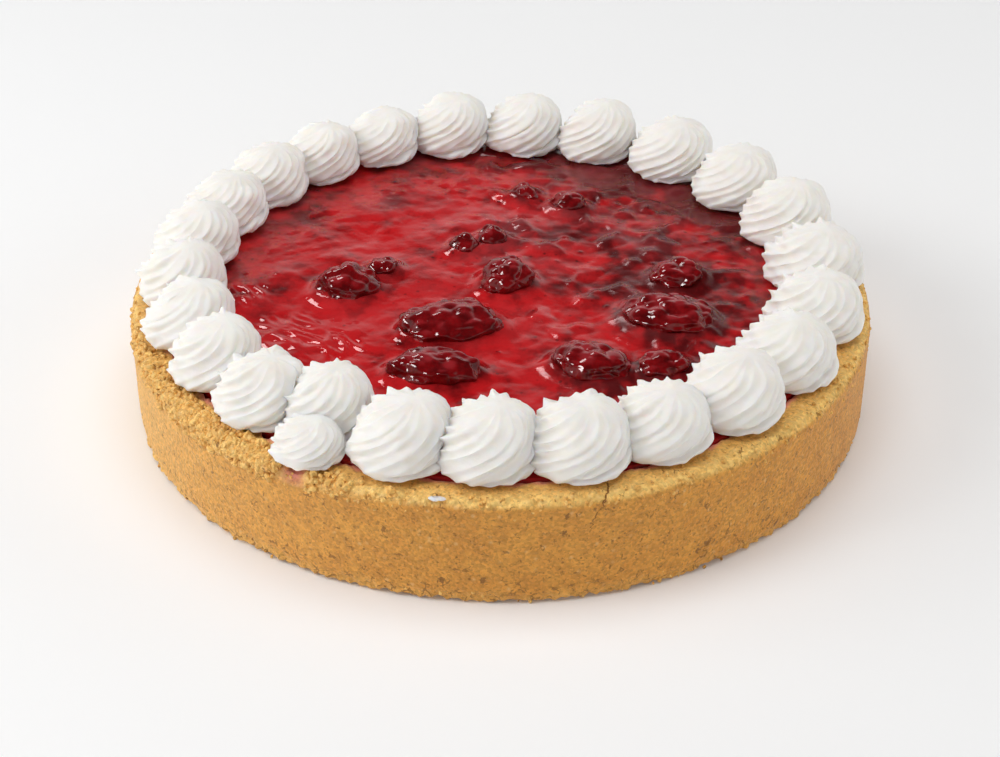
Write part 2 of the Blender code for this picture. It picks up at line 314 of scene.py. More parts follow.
def finish_piece(piece, material, nodes=()):
    """Gives a shaped piece its material, its body and the solids that it stands for."""
    work_on(piece)
    bpy.ops.object.shade_smooth()
    piece.data.materials.clear()
    piece.data.materials.append(material)
    piece.vertex_groups.clear()
    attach(piece, "root")
    if nodes:
        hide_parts(*nodes)


# Materials

BLACK = (0.0, 0.0, 0.0, 1.0)
WHITE = (1.0, 1.0, 1.0, 1.0)


def set_inputs(tree, node, values):
    """Sets a node's inputs by name or number: a socket is linked, and anything else becomes the value."""
    for name, value in values.items():
        if isinstance(value, bpy.types.NodeSocket):
            tree.links.new(value, node.inputs[name])
        else:
            node.inputs[name].default_value = value


def shader_node(tree, kind, values=None, **attributes):
    made = tree.nodes.new(kind)
    for name, value in attributes.items():
        setattr(made, name, value)
    set_inputs(tree, made, values or {})
    return made


def mix_colours(tree, factor, first, second, blend="MIX"):
    values = {0: factor, 6: first, 7: second}
    return shader_node(tree, "ShaderNodeMix", values, data_type="RGBA", blend_type=blend).outputs[2]


def maths(tree, operation, first, second=0.0, third=0.0):
    values = {0: first, 1: second, 2: third}
    return shader_node(tree, "ShaderNodeMath", values, operation=operation).outputs[0]


def vector_maths(tree, operation, first, second, third=(0.0, 0.0, 0.0)):
    values = {0: first, 1: second, 2: third}
    made = shader_node(tree, "ShaderNodeVectorMath", values, operation=operation)
    return made.outputs["Value" if operation == "DISTANCE" else "Vector"]


def ramp(tree, value, low, high, to_low=0.0, to_high=1.0, smooth=False):
    made = shader_node(
        tree, "ShaderNodeMapRange",
        {"Value": value, "From Min": low, "From Max": high, "To Min": to_low, "To Max": to_high},
        interpolation_type="SMOOTHSTEP" if smooth else "LINEAR",
    )
    return made.outputs["Result"]


def object_place(tree):
    return tree.nodes.new("ShaderNodeTexCoord").outputs["Object"]


def scale_for(tree, size):
    """The scale that gives a texture features of this size, which is a number or a group's own input."""
    if isinstance(size, bpy.types.NodeSocket):
        return maths(tree, "DIVIDE", 1.0, size)
    return 1 / size


def noise_at(tree, place, size, detail=2.0, roughness=0.5):
    values = {"Vector": place, "Scale": scale_for(tree, size), "Detail": detail, "Roughness": roughness}
    return shader_node(tree, "ShaderNodeTexNoise", values).outputs


def cells_at(tree, place, size, feature="F1"):
    values = {"Vector": place, "Scale": scale_for(tree, size)}
    return shader_node(tree, "ShaderNodeTexVoronoi", values, feature=feature).outputs


def read_attribute(tree, name):
    return shader_node(tree, "ShaderNodeAttribute", attribute_name=name).outputs["Fac"]


def red_part(tree, socket):
    """The red of a colour, which a Voronoi texture draws at random for each cell."""
    return shader_node(tree, "ShaderNodeSeparateColor", {0: socket}).outputs[0]


def scattered_spots(tree, place, size, chosen, spot):
    """Round spots in some of the cells: a range of the cells' random values, and of the distance."""
    cells = cells_at(tree, place, size)
    in_cell = ramp(tree, red_part(tree, cells["Color"]), *chosen)
    return maths(tree, "MULTIPLY", in_cell, ramp(tree, cells["Distance"], *spot))


def new_group(name, inputs, outputs):
    tree = bpy.data.node_groups.new(name, "ShaderNodeTree")
    for socket, kind, default in inputs:
        made = tree.interface.new_socket(name=socket, in_out="INPUT", socket_type=f"NodeSocket{kind}")
        made.default_value = default
    for socket, kind in outputs:
        tree.interface.new_socket(name=socket, in_out="OUTPUT", socket_type=f"NodeSocket{kind}")
    return tree, tree.nodes.new("NodeGroupInput").outputs, tree.nodes.new("NodeGroupOutput").inputs


def mottle_group():
    """Soft patches of two colours, about Size wide. Contrast says how sharply one gives way to the other."""
    made = bpy.data.node_groups.get("Food mottle")
    if made:
        return made
    tree, given, out = new_group(
        "Food mottle",
        (("Dark", "Color", BLACK), ("Light", "Color", WHITE), ("Size", "Float", 0.01),
         ("Contrast", "Float", 2.0), ("Stretch", "Float", 1.0)),
        (("Colour", "Color"), ("Mask", "Float")),
    )
    stretch = shader_node(tree, "ShaderNodeCombineXYZ", {0: 1.0, 1: given["Stretch"], 2: 1.0}).outputs[0]
    place = vector_maths(tree, "MULTIPLY", object_place(tree), stretch)
    patches = noise_at(tree, place, given["Size"], detail=4.0, roughness=0.58)[0]
    centred = maths(tree, "SUBTRACT", patches, 0.5)
    mask = maths(tree, "MULTIPLY_ADD", centred, given["Contrast"], 0.5)
    mask = ramp(tree, mask, 0.0, 1.0, smooth=True)
    tree.links.new(mask, out["Mask"])
    tree.links.new(mix_colours(tree, mask, given["Dark"], given["Light"]), out["Colour"])
    return tree


def relief_group():
    """Height of a fine food grain, for a Bump node: rounded grains over noise of a larger size."""
    made = bpy.data.node_groups.get("Food relief")
    if made:
        return made
    tree, given, out = new_group(
        "Food relief",
        (("Grain", "Float", 0.001), ("Lump", "Float", 0.004), ("Balance", "Float", 0.5),
         ("Detail", "Float", 5.0)),
        (("Height", "Float"),),
    )
    place = object_place(tree)
    rounded = maths(tree, "SUBTRACT", 1.0, cells_at(tree, place, given["Grain"])["Distance"])
    lumps = noise_at(tree, place, given["Lump"], given["Detail"], roughness=0.62)[0]
    values = {0: given["Balance"], 2: rounded, 3: lumps}
    height = shader_node(tree, "ShaderNodeMix", values, data_type="FLOAT").outputs[0]
    tree.links.new(height, out["Height"])
    return tree


def new_finish(name):
    material = bpy.data.materials.new(name)
    material.use_nodes = True
    tree = material.node_tree
    shader = tree.nodes["Principled BSDF"]
    shader.inputs["Metallic"].default_value = 0.0
    return material, tree, shader


def add_mottle(tree, dark, light, size, contrast=2.0, stretch=1.0):
    values = {"Dark": dark, "Light": light, "Size": size, "Contrast": contrast, "Stretch": stretch}
    return shader_node(tree, "ShaderNodeGroup", values, node_tree=mottle_group()).outputs


def mottle_mask(tree, size, contrast, stretch=1.0):
    return add_mottle(tree, BLACK, WHITE, size, contrast, stretch)["Mask"]


def add_relief(tree, shader, grain, lump, balance, depth, distance, detail=5.0):
    values = {"Grain": grain, "Lump": lump, "Balance": balance, "Detail": detail}
    height = shader_node(tree, "ShaderNodeGroup", values, node_tree=relief_group()).outputs["Height"]
    normal = shader_node(tree, "ShaderNodeBump", {"Height": height, "Strength": depth, "Distance": distance})
    tree.links.new(normal.outputs[0], shader.inputs["Normal"])


# Baked crumb: widths of its patches, grains and marks
TAN_PATCH = 0.007
GOLD_AND_LIGHT_PATCH = 0.0015
GRAIN_WIDTH = 0.0008
FLECK_CELL = 0.0024
PORE_CELL = 0.0017
SPECK_WIDTH = 0.0013

# Widths of the patches in the other finishes
GLAZE_PATCH = 0.006
GLAZE_SMUDGE = 0.010
GLAZE_SEED_CELL = 0.0036
PAINTED_SHEEN_PATCH = 0.024
FRUIT_PATCH = 0.0040
CREAM_PATCH = 0.0055

# Fine cracks between crumbs, painted as shade, which follow the wavering borders of cells
CRACK_CELL = 0.0030
CRACK_PATCH = 0.0026
CRACK_WAVER = 0.0014
CRACK_WAVER_LENGTH = 0.0012
CRACK_WIDTH = 0.085
CRACK_SOFTNESS = 0.035
CRACK_STRENGTH = 0.78
CRACKED_FOOT = 0.012

# The long crack in the front: its top and slope, its swings from side to side, and how thick it is
CRACK_TOP_X = polar(CAKE_RADIUS, CRACK_TOP).x
CRACK_SLOPE = 0.42
LONG_CRACK_SWING = 0.0048
LONG_CRACK_SWING_LENGTH = 0.0024
LONG_CRACK_THICK = 0.00030
LONG_CRACK_THIN = 0.00006
LONG_CRACK_GAP = 0.0011

# Single holes in the side, painted as shade: middle and radius
HOLES = (
    (Vector((0.0181, -0.1136, 0.0290)), 0.0009), (Vector((0.0172, -0.1137, 0.0236)), 0.0011),
    (Vector((0.0577, -0.0995, 0.0094)), 0.0014), (Vector((0.0548, -0.1010, 0.0078)), 0.0010),
    (Vector((-0.0160, -0.1139, 0.0077)), 0.0012), (Vector((-0.0050, -0.1149, 0.0084)), 0.0013),
    (Vector((0.0790, -0.0835, 0.0040)), 0.0013),
)
HOLE_RAGGED = 0.0030
HOLE_RAGGED_LENGTH = 0.0009


def grain_tones(tree, place):
    """A grey for each grain, to multiply its colour by."""
    random_value = red_part(tree, cells_at(tree, place, GRAIN_WIDTH)["Color"])
    tone = ramp(tree, random_value, 0.0, 1.0, to_low=0.81, to_high=1.17)
    return shader_node(tree, "ShaderNodeCombineColor", {0: tone, 1: tone, 2: tone}).outputs[0]


def pores(tree, place):
    """Round pores painted dark as shade, each of its own width."""
    cells = cells_at(tree, place, PORE_CELL)
    width = ramp(tree, red_part(tree, cells["Color"]), 0.50, 1.0, to_high=0.27)
    away = maths(tree, "SUBTRACT", cells["Distance"], width)
    return ramp(tree, away, -0.07, 0.02, to_low=0.75, to_high=0.0)


def specks(tree, place):
    """Small dark specks of no certain shape."""
    uneven = noise_at(tree, place, SPECK_WIDTH, roughness=0.6)[0]
    return ramp(tree, uneven, 0.40, 0.31, to_high=0.55)


def crumb_cracks(tree, place):
    """Painted shade in short angular cracks between crumbs: pieces of cell borders, and most of them near the
    foot.
    """
    waver = noise_at(tree, place, CRACK_WAVER_LENGTH)["Color"]
    waver = vector_maths(tree, "SUBTRACT", waver, (0.5, 0.5, 0.5))
    moved = vector_maths(tree, "MULTIPLY_ADD", waver, (CRACK_WAVER,) * 3, place)
    borders = cells_at(tree, moved, CRACK_CELL, "DISTANCE_TO_EDGE")["Distance"]
    height = shader_node(tree, "ShaderNodeSeparateXYZ", {0: place}).outputs[2]
    more = ramp(tree, height, CRACKED_FOOT, 0.0, to_high=0.13)
    patches = maths(tree, "ADD", noise_at(tree, place, CRACK_PATCH)[0], more)
    width = maths(tree, "MULTIPLY", ramp(tree, patches, 0.55, 0.72), CRACK_WIDTH)
    away = maths(tree, "SUBTRACT", borders, width)
    line = ramp(tree, away, -CRACK_SOFTNESS, 0.0, to_low=1.0, to_high=0.0)
    return maths(tree, "MULTIPLY", line, CRACK_STRENGTH)


def holes(tree, place):
    """Painted shade in the larger holes between crumbs, each with a ragged edge."""
    ragged = noise_at(tree, place, HOLE_RAGGED_LENGTH)["Color"]
    moved = vector_maths(tree, "MULTIPLY_ADD", ragged, (HOLE_RAGGED,) * 3, place)
    mask = 0.0
    for middle, radius in HOLES:
        moved_middle = middle + Vector((0.5 * HOLE_RAGGED,) * 3)
        away = vector_maths(tree, "DISTANCE", moved, moved_middle)
        mask = maths(tree, "MAXIMUM", mask, ramp(tree, away, 0.6 * radius, radius, to_low=0.9, to_high=0.0))
    return mask


def long_crack(tree, place, settings):
    """Painted shade in the one long crack, a thin crooked line down the front from the rim."""
    across, depth, height = shader_node(tree, "ShaderNodeSeparateXYZ", {0: place}).outputs
    down = maths(tree, "SUBTRACT", CAKE_HEIGHT, height)
    along = maths(tree, "MULTIPLY", down, 1 / LONG_CRACK_SWING_LENGTH)
    swing = shader_node(
        tree, "ShaderNodeTexNoise", {"W": along, "Scale": 1.0, "Detail": 4.0}, noise_dimensions="1D",
    ).outputs[0]
    line = maths(tree, "MULTIPLY_ADD", down, -CRACK_SLOPE, CRACK_TOP_X)
    line = maths(tree, "MULTIPLY_ADD", maths(tree, "SUBTRACT", swing, 0.5), LONG_CRACK_SWING, line)
    away = maths(tree, "ABSOLUTE", maths(tree, "SUBTRACT", across, line))
    width = ramp(tree, down, 0.0, settings.crack_length, LONG_CRACK_THICK, LONG_CRACK_THIN)
    gaps = noise_at(tree, place, LONG_CRACK_GAP)[0]
    width = maths(tree, "MULTIPLY", width, ramp(tree, gaps, 0.35, 0.65, to_low=0.1, to_high=1.4))
    mask = ramp(tree, maths(tree, "SUBTRACT", away, width), -0.00005, 0.00010, to_low=1.0, to_high=0.0)
    front = maths(tree, "LESS_THAN", depth, -0.5 * CAKE_RADIUS)
    ends = ramp(tree, down, settings.crack_length, 0.85 * settings.crack_length)
    return maths(tree, "MULTIPLY", maths(tree, "MULTIPLY", mask, front), ends)


def crumb_finish(settings):
    """Baked crumb: two tans, grains of different tone, painted shade in pores and cracks, a golden rim with a
    painted highlight and a painted lit side, and painted stains.
    """
    made = bpy.data.materials.get("baked_crumb")
    if made:
        return made
    material, tree, shader = new_finish("baked_crumb")
    place = object_place(tree)
    golden_and_lit = read_attribute(tree, "golden_and_lit")
    base = add_mottle(tree, settings.side_dark, settings.side, TAN_PATCH)["Colour"]
    tan = mix_colours(tree, 0.45, settings.side, settings.rim)
    # Gold for the rim crumb, also used for the painted highlight on the edge and the painted lit side
    gold_and_light = add_mottle(tree, tan, settings.rim, GOLD_AND_LIGHT_PATCH, contrast=2.2)["Colour"]
    base = mix_colours(tree, golden_and_lit, base, gold_and_light)
    base = mix_colours(tree, 1.0, base, grain_tones(tree, place), "MULTIPLY")
    flecks = scattered_spots(tree, place, FLECK_CELL, chosen=(0.70, 0.90), spot=(0.34, 0.12))
    fainter_on_rim = ramp(tree, golden_and_lit, 0.0, 1.0, to_low=1.0, to_high=0.45)
    # Pale flecks, then painted shade in the pores, specks, cracks and holes, then the soaked stains
    marks = (
        (maths(tree, "MULTIPLY", flecks, 0.45), settings.fleck),
        (maths(tree, "MULTIPLY", pores(tree, place), fainter_on_rim), settings.pore_shade),
        (maths(tree, "MULTIPLY", specks(tree, place), fainter_on_rim), settings.pore_shade),
        (crumb_cracks(tree, place), settings.pore_shade),
        (holes(tree, place), settings.pore_shade),
        (long_crack(tree, place, settings), settings.pore_shade),
        (read_attribute(tree, "stain"), settings.stain),
    )
    for mask, tint in marks:
        base = mix_colours(tree, mask, base, tint)
    set_inputs(tree, shader, {
        "Base Color": base, "Roughness": 0.60, "Specular IOR Level": 0.40,
        "Sheen Weight": 0.08, "Sheen Roughness": 0.5,
    })
    add_relief(tree, shader, grain=0.0009, lump=0.0026, balance=0.55, depth=0.8, distance=0.0007)
    return material


def glaze_finish(settings):
    """Wet jelly: bright where it is thin and dark where the painted depth is high, which also holds painted
    shade, under a painted sheen of milky streaks.
    """
    material, tree, shader = new_finish("berry_glaze")
    place = object_place(tree)
    across, along, _ = shader_node(tree, "ShaderNodeSeparateXYZ", {0: place}).outputs
    patches = maths(tree, "SUBTRACT", mottle_mask(tree, GLAZE_PATCH, contrast=3.2), 0.5)
    smudges = mottle_mask(tree, GLAZE_SMUDGE, contrast=2.4, stretch=0.8)
    smudges = ramp(tree, smudges, 0.60, 1.0, smooth=True)
    seeds = scattered_spots(tree, place, GLAZE_SEED_CELL, chosen=(0.60, 0.75), spot=(0.22, 0.08))
    depth = read_attribute(tree, "depth")
    for mask, deeper in ((patches, 0.30), (smudges, 0.24), (seeds, 0.40)):
        depth = maths(tree, "MULTIPLY_ADD", mask, deeper, depth)
    depth = ramp(tree, depth, 0.0, 1.0, smooth=True)
    base = mix_colours(tree, depth, settings.bright, settings.deep)
    # Painted sheen: milky streaks, stronger towards the back and fainter to the far right
    painted_sheen = mottle_mask(tree, PAINTED_SHEEN_PATCH, contrast=3.0, stretch=2.2)
    painted_sheen = maths(tree, "MULTIPLY", painted_sheen, ramp(tree, along, -0.05, 0.03, to_low=0.04, to_high=0.22))
    painted_sheen = maths(tree, "MULTIPLY", painted_sheen, ramp(tree, across, 0.045, 0.080, to_low=1.0, to_high=0.2))
    rougher = 4.0 * settings.roughness
    set_inputs(tree, shader, {
        "Base Color": mix_colours(tree, painted_sheen, base, settings.painted_sheen),
        "Roughness": ramp(tree, across, -0.02, 0.04, settings.roughness, rougher),
        "Specular IOR Level": 0.45,
        "Specular Tint": (1.0, 0.80, 0.80, 1.0),
    })
    add_relief(
        tree, shader, grain=0.0030, lump=0.0024, balance=0.85, depth=0.20, distance=0.0004, detail=1.0,
    )
    return material


def berry_finish(settings):
    """Cooked fruit: dark wine, with milky jelly and a painted sheen where the film and sheen are painted."""
    material, tree, shader = new_finish("cooked_berry")
    base = add_mottle(tree, settings.shade, settings.flesh, FRUIT_PATCH, contrast=2.2)["Colour"]
    # Milky film and painted sheen on the slopes that face up and back
    film_and_sheen = maths(tree, "MULTIPLY", read_attribute(tree, "film_and_sheen"), 0.85)
    base = mix_colours(tree, film_and_sheen, base, settings.film_and_sheen)
    set_inputs(tree, shader, {"Base Color": base, "Roughness": 0.10})
    add_relief(
        tree, shader, grain=0.0016, lump=0.0030, balance=0.8, depth=0.15, distance=0.0004, detail=1.0,
    )
    return material


def cream_finish(settings):
    """Whipped cream: warm white, soft and matte, with fine bubbles."""
    made = bpy.data.materials.get("piped_cream")
    if made:
        return made
    material, tree, shader = new_finish("piped_cream")
    base = add_mottle(tree, settings.shade, settings.cream, CREAM_PATCH, contrast=2.2)["Colour"]
    set_inputs(tree, shader, {
        "Base Color": base, "Roughness": 0.62, "Specular IOR Level": 0.25,
        "Subsurface Weight": 0.6, "Subsurface Radius": (1.0, 0.75, 0.5), "Subsurface Scale": 0.0055,
    })
    add_relief(tree, shader, grain=0.0006, lump=0.0014, balance=0.75, depth=0.35, distance=0.0002)
    return material


# Crust


class CHEESECAKE_OT_crust(Operator):
    """Presses the crumb crust: a cylinder with a recess, rounded edges and crumbs that stand out of it"""

    bl_idname = "cheesecake.crust"
    bl_label = "Crumb Crust"

    SECTORS = 1100
    CELL = 0.00066
    RECESS_EDGE = 0.0013
    NEAR = 0.0002
    PATCH = 0.009
    RIM_BAND = (0.0016, 0.0032)
    RIM_WAVE = 0.0007
    CRUMBLY_BAND = (0.0034, 0.0052)
    CRUMBLY_WAVE = 0.0016
    EDGE_BELOW = 0.0008
    EDGE_WIDTH = 0.0012
    FOOT_BAND = (0.0008, 0.0052)
    FOOT_WAVE = 0.002
    CRUMBLY_WIDTH = math.radians(19)
    PAINTED_LIGHT_WIDTH = math.radians(38)
    CHIP_WIDTH = math.radians(1.5)
    CHIP_SLANT = 0.9
    CHIP_DEPTH = 0.0026
    STAIN_BAND = (0.0008, 0.0026)
    STAIN_WAVE = 0.0016
    STAIN_WAVE_LENGTH = 0.004
    CREASE_WIDTH = 0.0006
    CREASE_DEPTH = 0.0005
    CREASE_FADE = 0.007
    FRONT_REACH = 0.008
    UNEVEN_LENGTH = 0.022
    UNEVEN_HEIGHT = 0.0006
    GRAIN_LENGTH = 0.0011

    def execute(self, context):
        settings = context.scene.cheesecake_crust
        piece = self.press_blank(settings)
        self.divide(settings)
        bpy.ops.object.mode_set(mode="OBJECT")
        self.paint(piece, settings)
        self.roughen(piece, settings)
        finish_piece(piece, crumb_finish(settings), ["crust"])
        return {"FINISHED"}

    def press_blank(self, settings):
        start_piece()
        bpy.ops.mesh.primitive_cylinder_add(
            vertices=self.SECTORS, radius=CAKE_RADIUS, depth=CAKE_HEIGHT, location=(0, 0, 0.5 * CAKE_HEIGHT),
        )
        piece = new_piece("crumb_crust")
        bpy.ops.object.transform_apply(location=True, rotation=True, scale=True)
        edit_mesh("FACE")
        select_where("FACE", lambda face: face.normal.z > 0.9)
        bpy.ops.mesh.inset(thickness=CAKE_RADIUS - RECESS_RADIUS, depth=0)
        extrude_by((0, 0, RECESS_FLOOR - CAKE_HEIGHT))
        edges_to_round = (
            (RECESS_RADIUS, CAKE_HEIGHT, self.RECESS_EDGE, 3),
            (CAKE_RADIUS, CAKE_HEIGHT, settings.shoulder, 12),
            (CAKE_RADIUS, 0.0, settings.foot, 4),
        )
        for radius, z, width, segments in edges_to_round:
            select_where("EDGE", self.edge_at(radius, z))
            bpy.ops.mesh.bevel(offset=width, segments=segments, affect="EDGES")
        return piece

    def edge_at(self, radius, z):
        """A test for the edges of one circle."""

        def on_circle(vert):
            return abs(vert.co.xy.length - radius) < self.NEAR and abs(vert.co.z - z) < self.NEAR

        return lambda edge: all(on_circle(vert) for vert in edge.verts)

    def divide(self, settings):
        """Cuts the side and the rim into cells small enough for crumbs."""
        side = CAKE_HEIGHT - settings.shoulder - settings.foot
        rim = CAKE_RADIUS - settings.shoulder - RECESS_RADIUS - self.RECESS_EDGE

        def up_the_side(edge):
            return abs(edge.verts[0].co.z - edge.verts[1].co.z) > 0.8 * side

        def across_the_rim(edge):
            on_top = min(vert.co.z for vert in edge.verts) > CAKE_HEIGHT - self.NEAR
            return on_top and abs(edge.verts[0].co.xy.length - edge.verts[1].co.xy.length) > 0.8 * rim

        for wanted, reach in ((up_the_side, side), (across_the_rim, rim)):
            select_where("EDGE", wanted)
            bpy.ops.mesh.subdivide(number_cuts=round(reach / self.CELL) - 1)

    def paint(self, piece, settings):
        painted = [self.paint_at(vert.co, settings) for vert in piece.data.vertices]
        for name in ("coarse", "chip", "crack"):
            paint_group(piece, name, [values[name] for values in painted])
        for name in ("golden_and_lit", "stain"):
            paint_attribute(piece, name, [values[name] for values in painted])

    def paint_at(self, point, settings):
        """How coarse, chipped, cracked, golden and stained the crust is at a point, with painted light in the
        gold: a highlight along the shoulder's edge and the lit left side.
        """
        radius, angle = point.xy.length, math.atan2(point.y, point.x)
        below = CAKE_HEIGHT - point.z
        patch = noise.noise(point / self.PATCH)
        crumbly = bump(angle_between(angle, CRUMBLY_SIDE), self.CRUMBLY_WIDTH)
        wave = (self.RIM_WAVE + self.CRUMBLY_WAVE * crumbly) * patch
        start, end = (rim + more * crumbly for rim, more in zip(self.RIM_BAND, self.CRUMBLY_BAND))
        rim = 1 - smooth_step(below + wave, start, end)
        edge = bump(below - self.EDGE_BELOW, self.EDGE_WIDTH)
        edge *= smooth_step(radius, CAKE_RADIUS - 0.006, CAKE_RADIUS - 0.003)
        foot = 1 - smooth_step(point.z + self.FOOT_WAVE * patch, *self.FOOT_BAND)
        # Painted light: the left side, which the lamps light most, is made paler and more golden
        pale = 0.50 * bump(angle_between(angle, PAINTED_LIGHT_SIDE), self.PAINTED_LIGHT_WIDTH)
        chip = bump(angle_between(angle, CHIP_PLACE + self.CHIP_SLANT * below), self.CHIP_WIDTH) * rim
        ragged = self.STAIN_WAVE * noise.noise(point / self.STAIN_WAVE_LENGTH)
        soaked = 1 - smooth_step(radius + ragged, *(RECESS_RADIUS + reach for reach in self.STAIN_BAND))
        away = abs(point.x - CRACK_TOP_X + CRACK_SLOPE * below)
        in_front = point.y < self.FRONT_REACH - CAKE_RADIUS
        ends = smooth_step(settings.crack_length - below, 0.0, self.CREASE_FADE) * in_front
        return {
            "coarse": min(1.0, max(rim * (0.26 + 0.34 * edge + 0.70 * crumbly), 0.75 * foot)),
            "chip": chip,
            "crack": ends * bump(away, self.CREASE_WIDTH),
            # Golden rim crumb, with a painted highlight along the shoulder's edge and the painted lit left
            # side
            "golden_and_lit": min(1.0, max(rim * (0.50 + 0.50 * max(edge, crumbly)), 0.30 * foot + pale)),
            "stain": min(1.0, max(0.9 * soaked, 0.9 * chip)),
        }

    def roughen(self, piece, settings):
        """Broad unevenness, the chip, coarse crumbs where they are painted, the fine grain and the crack."""
        displace(piece, "CLOUDS", self.UNEVEN_LENGTH, self.UNEVEN_HEIGHT)
        sink(piece, "chip", self.CHIP_DEPTH)
        displace(piece, "VORONOI", settings.crumb_size, -settings.rim_crumb, mid_level=0.25, group="coarse")
        displace(
            piece, "CLOUDS", 1.9 * settings.crumb_size, 0.8 * settings.rim_crumb, mid_level=0.65,
            group="coarse", noise_depth=1,
        )
        displace(piece, "CLOUDS", self.GRAIN_LENGTH, settings.grain, noise_depth=2)
        sink(piece, "crack", self.CREASE_DEPTH)
        for vert in piece.data.vertices:
            vert.co.z = max(vert.co.z, 0.0)


# Larger crumbs caught between two swirls, and their sizes
CAUGHT_CRUMBS = (
    (Vector((-0.0632, -0.0790, 0.0372)), 0.0022),
    (Vector((-0.0628, -0.0778, 0.0392)), 0.0016),
)


class CHEESECAKE_OT_loose_crumbs(Operator):
    """Scatters crumbs that cling to the rim and to the foot of the crust"""

    bl_idname = "cheesecake.loose_crumbs"
    bl_label = "Loose Crumbs"

    ON_CRUMBLY_SIDE = 0.66
    ON_ANY_RIM = 0.90
    CRUMBLY_SPREAD = math.radians(11.5)
    CHIP_CLEARANCE = math.radians(2.5)
    LUMPINESS = 0.42
    SUNK = 0.2
    # Smallest size of a crumb at each place, and how much larger one may be
    CRUMBLY_SIZES = (0.00045, 0.00130)
    RIM_SIZES = (0.00035, 0.00055)
    FOOT_SIZES = (0.00030, 0.00060)
    FOOT_HEIGHTS = (0.0004, 0.0042)
    FOOT_INSET = 0.0006
    FLAT_REACH = 0.010
    SIDE_REACH = 0.012

    def execute(self, context):
        settings = context.scene.cheesecake_crust
        start_piece()
        bpy.ops.mesh.primitive_ico_sphere_add(subdivisions=2, radius=1.0)
        pattern = new_piece("crumb_pattern")
        corners = [vert.co.copy() for vert in pattern.data.vertices]
        sides = [tuple(face.vertices) for face in pattern.data.polygons]
        bpy.data.objects.remove(pattern)
        draws = random.Random(29)
        points, faces, golden_and_lit = [], [], []
        for number in range(settings.loose_crumbs):
            if number < len(CAUGHT_CRUMBS):
                place, size = CAUGHT_CRUMBS[number]
            else:
                place, size = self.draw_place(draws, settings)
            turn = Euler([draws.uniform(0, math.tau) for _ in range(3)]).to_matrix()
            width, thickness = size * draws.uniform(0.6, 0.95), size * draws.uniform(0.5, 0.8)
            stretch = Matrix.Diagonal((size, width, thickness))
            shift = Vector([draws.uniform(0, 50) for _ in range(3)])
            first = len(points)
            for corner in corners:
                lumpy = corner * (1 + self.LUMPINESS * noise.noise(1.6 * corner + shift))
                point = place + turn @ (stretch @ lumpy)
                point.z = max(point.z, 0.0)
                points.append(point)
            faces.extend(tuple(first + index for index in side) for side in sides)
            golden_and_lit.extend([draws.uniform(0.4, 1.0)] * len(corners))
        mesh = bpy.data.meshes.new("loose_crumbs")
        mesh.from_pydata(points, [], faces)
        piece = bpy.data.objects.new("loose_crumbs", mesh)
        context.scene.collection.objects.link(piece)
        paint_attribute(piece, "golden_and_lit", golden_and_lit)
        finish_piece(piece, crumb_finish(settings))
        work_on(piece)
        bpy.ops.object.shade_smooth_by_angle(angle=math.radians(40))
        return {"FINISHED"}

    def draw_place(self, draws, settings):
        """A place on the crumbly stretch, elsewhere on the rim, or on the foot, and the crumb's size."""
        kind = draws.random()
        larger = min(1.0, draws.expovariate(3.0))
        if kind < self.ON_CRUMBLY_SIDE:
            smallest, more = self.CRUMBLY_SIZES
            angle = draws.gauss(CRUMBLY_SIDE, self.CRUMBLY_SPREAD)
            if angle_between(angle, CHIP_PLACE) < self.CHIP_CLEARANCE:
                angle -= 2 * self.CHIP_CLEARANCE
        else:
            smallest, more = self.RIM_SIZES if kind < self.ON_ANY_RIM else self.FOOT_SIZES
            angle = draws.uniform(0, math.tau)
        size = smallest + more * larger
        if kind >= self.ON_ANY_RIM:
            return polar(CAKE_RADIUS - self.FOOT_INSET, angle, draws.uniform(*self.FOOT_HEIGHTS)), size
        return self.on_shoulder(angle, draws.uniform(-0.35, 1.25), size, settings.shoulder), size

    def on_shoulder(self, angle, along, size, shoulder):
        """A point on the rounded shoulder from 0 to 1, on the flat rim below 0 and on the side above 1."""
        turn = 0.5 * math.pi * min(max(along, 0.0), 1.0)
        radius = CAKE_RADIUS - shoulder * (1 - math.sin(turn)) + min(along, 0.0) * self.FLAT_REACH
        z = CAKE_HEIGHT - shoulder * (1 - math.cos(turn)) - max(along - 1.0, 0.0) * self.SIDE_REACH
        outwards = polar(math.sin(turn), angle, math.cos(turn))
        return polar(radius, angle, z) - outwards * self.SUNK * size


# Berries and glaze


class BerryPlace:
    """Middle, half sizes and turn of a berry, measured on its solid."""

    def __init__(self, node):
        low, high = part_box(node)
        corners = [vert.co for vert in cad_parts[node].data.vertices]
        self.node = node
        self.height = high.z - low.z
        self.middle = Vector((0.5 * (low.x + high.x), 0.5 * (low.y + high.y), low.z))
        spots = [corner - self.middle for corner in corners]
        across_x = sum(spot.x * spot.x for spot in spots)
        across_y = sum(spot.y * spot.y for spot in spots)
        mixed = sum(spot.x * spot.y for spot in spots)
        self.turn = 0.5 * math.atan2(2 * mixed, across_x - across_y)
        back = Matrix.Rotation(-self.turn, 3, "Z")
        self.half_length = max(abs((back @ spot).x) for spot in spots)
        self.half_width = max(abs((back @ spot).y) for spot in spots)

    def clearance(self, x, y):
        """Distance from the berry's edge, below zero inside it, roughly."""
        away = Matrix.Rotation(-self.turn, 2) @ Vector((x - self.middle.x, y - self.middle.y))
        reach = math.hypot(away.x / self.half_length, away.y / self.half_width)
        return away.length * (1 - 1 / reach) if reach > 0.01 else -self.half_width


BERRIES = [BerryPlace(node) for node in BERRY_NODES]

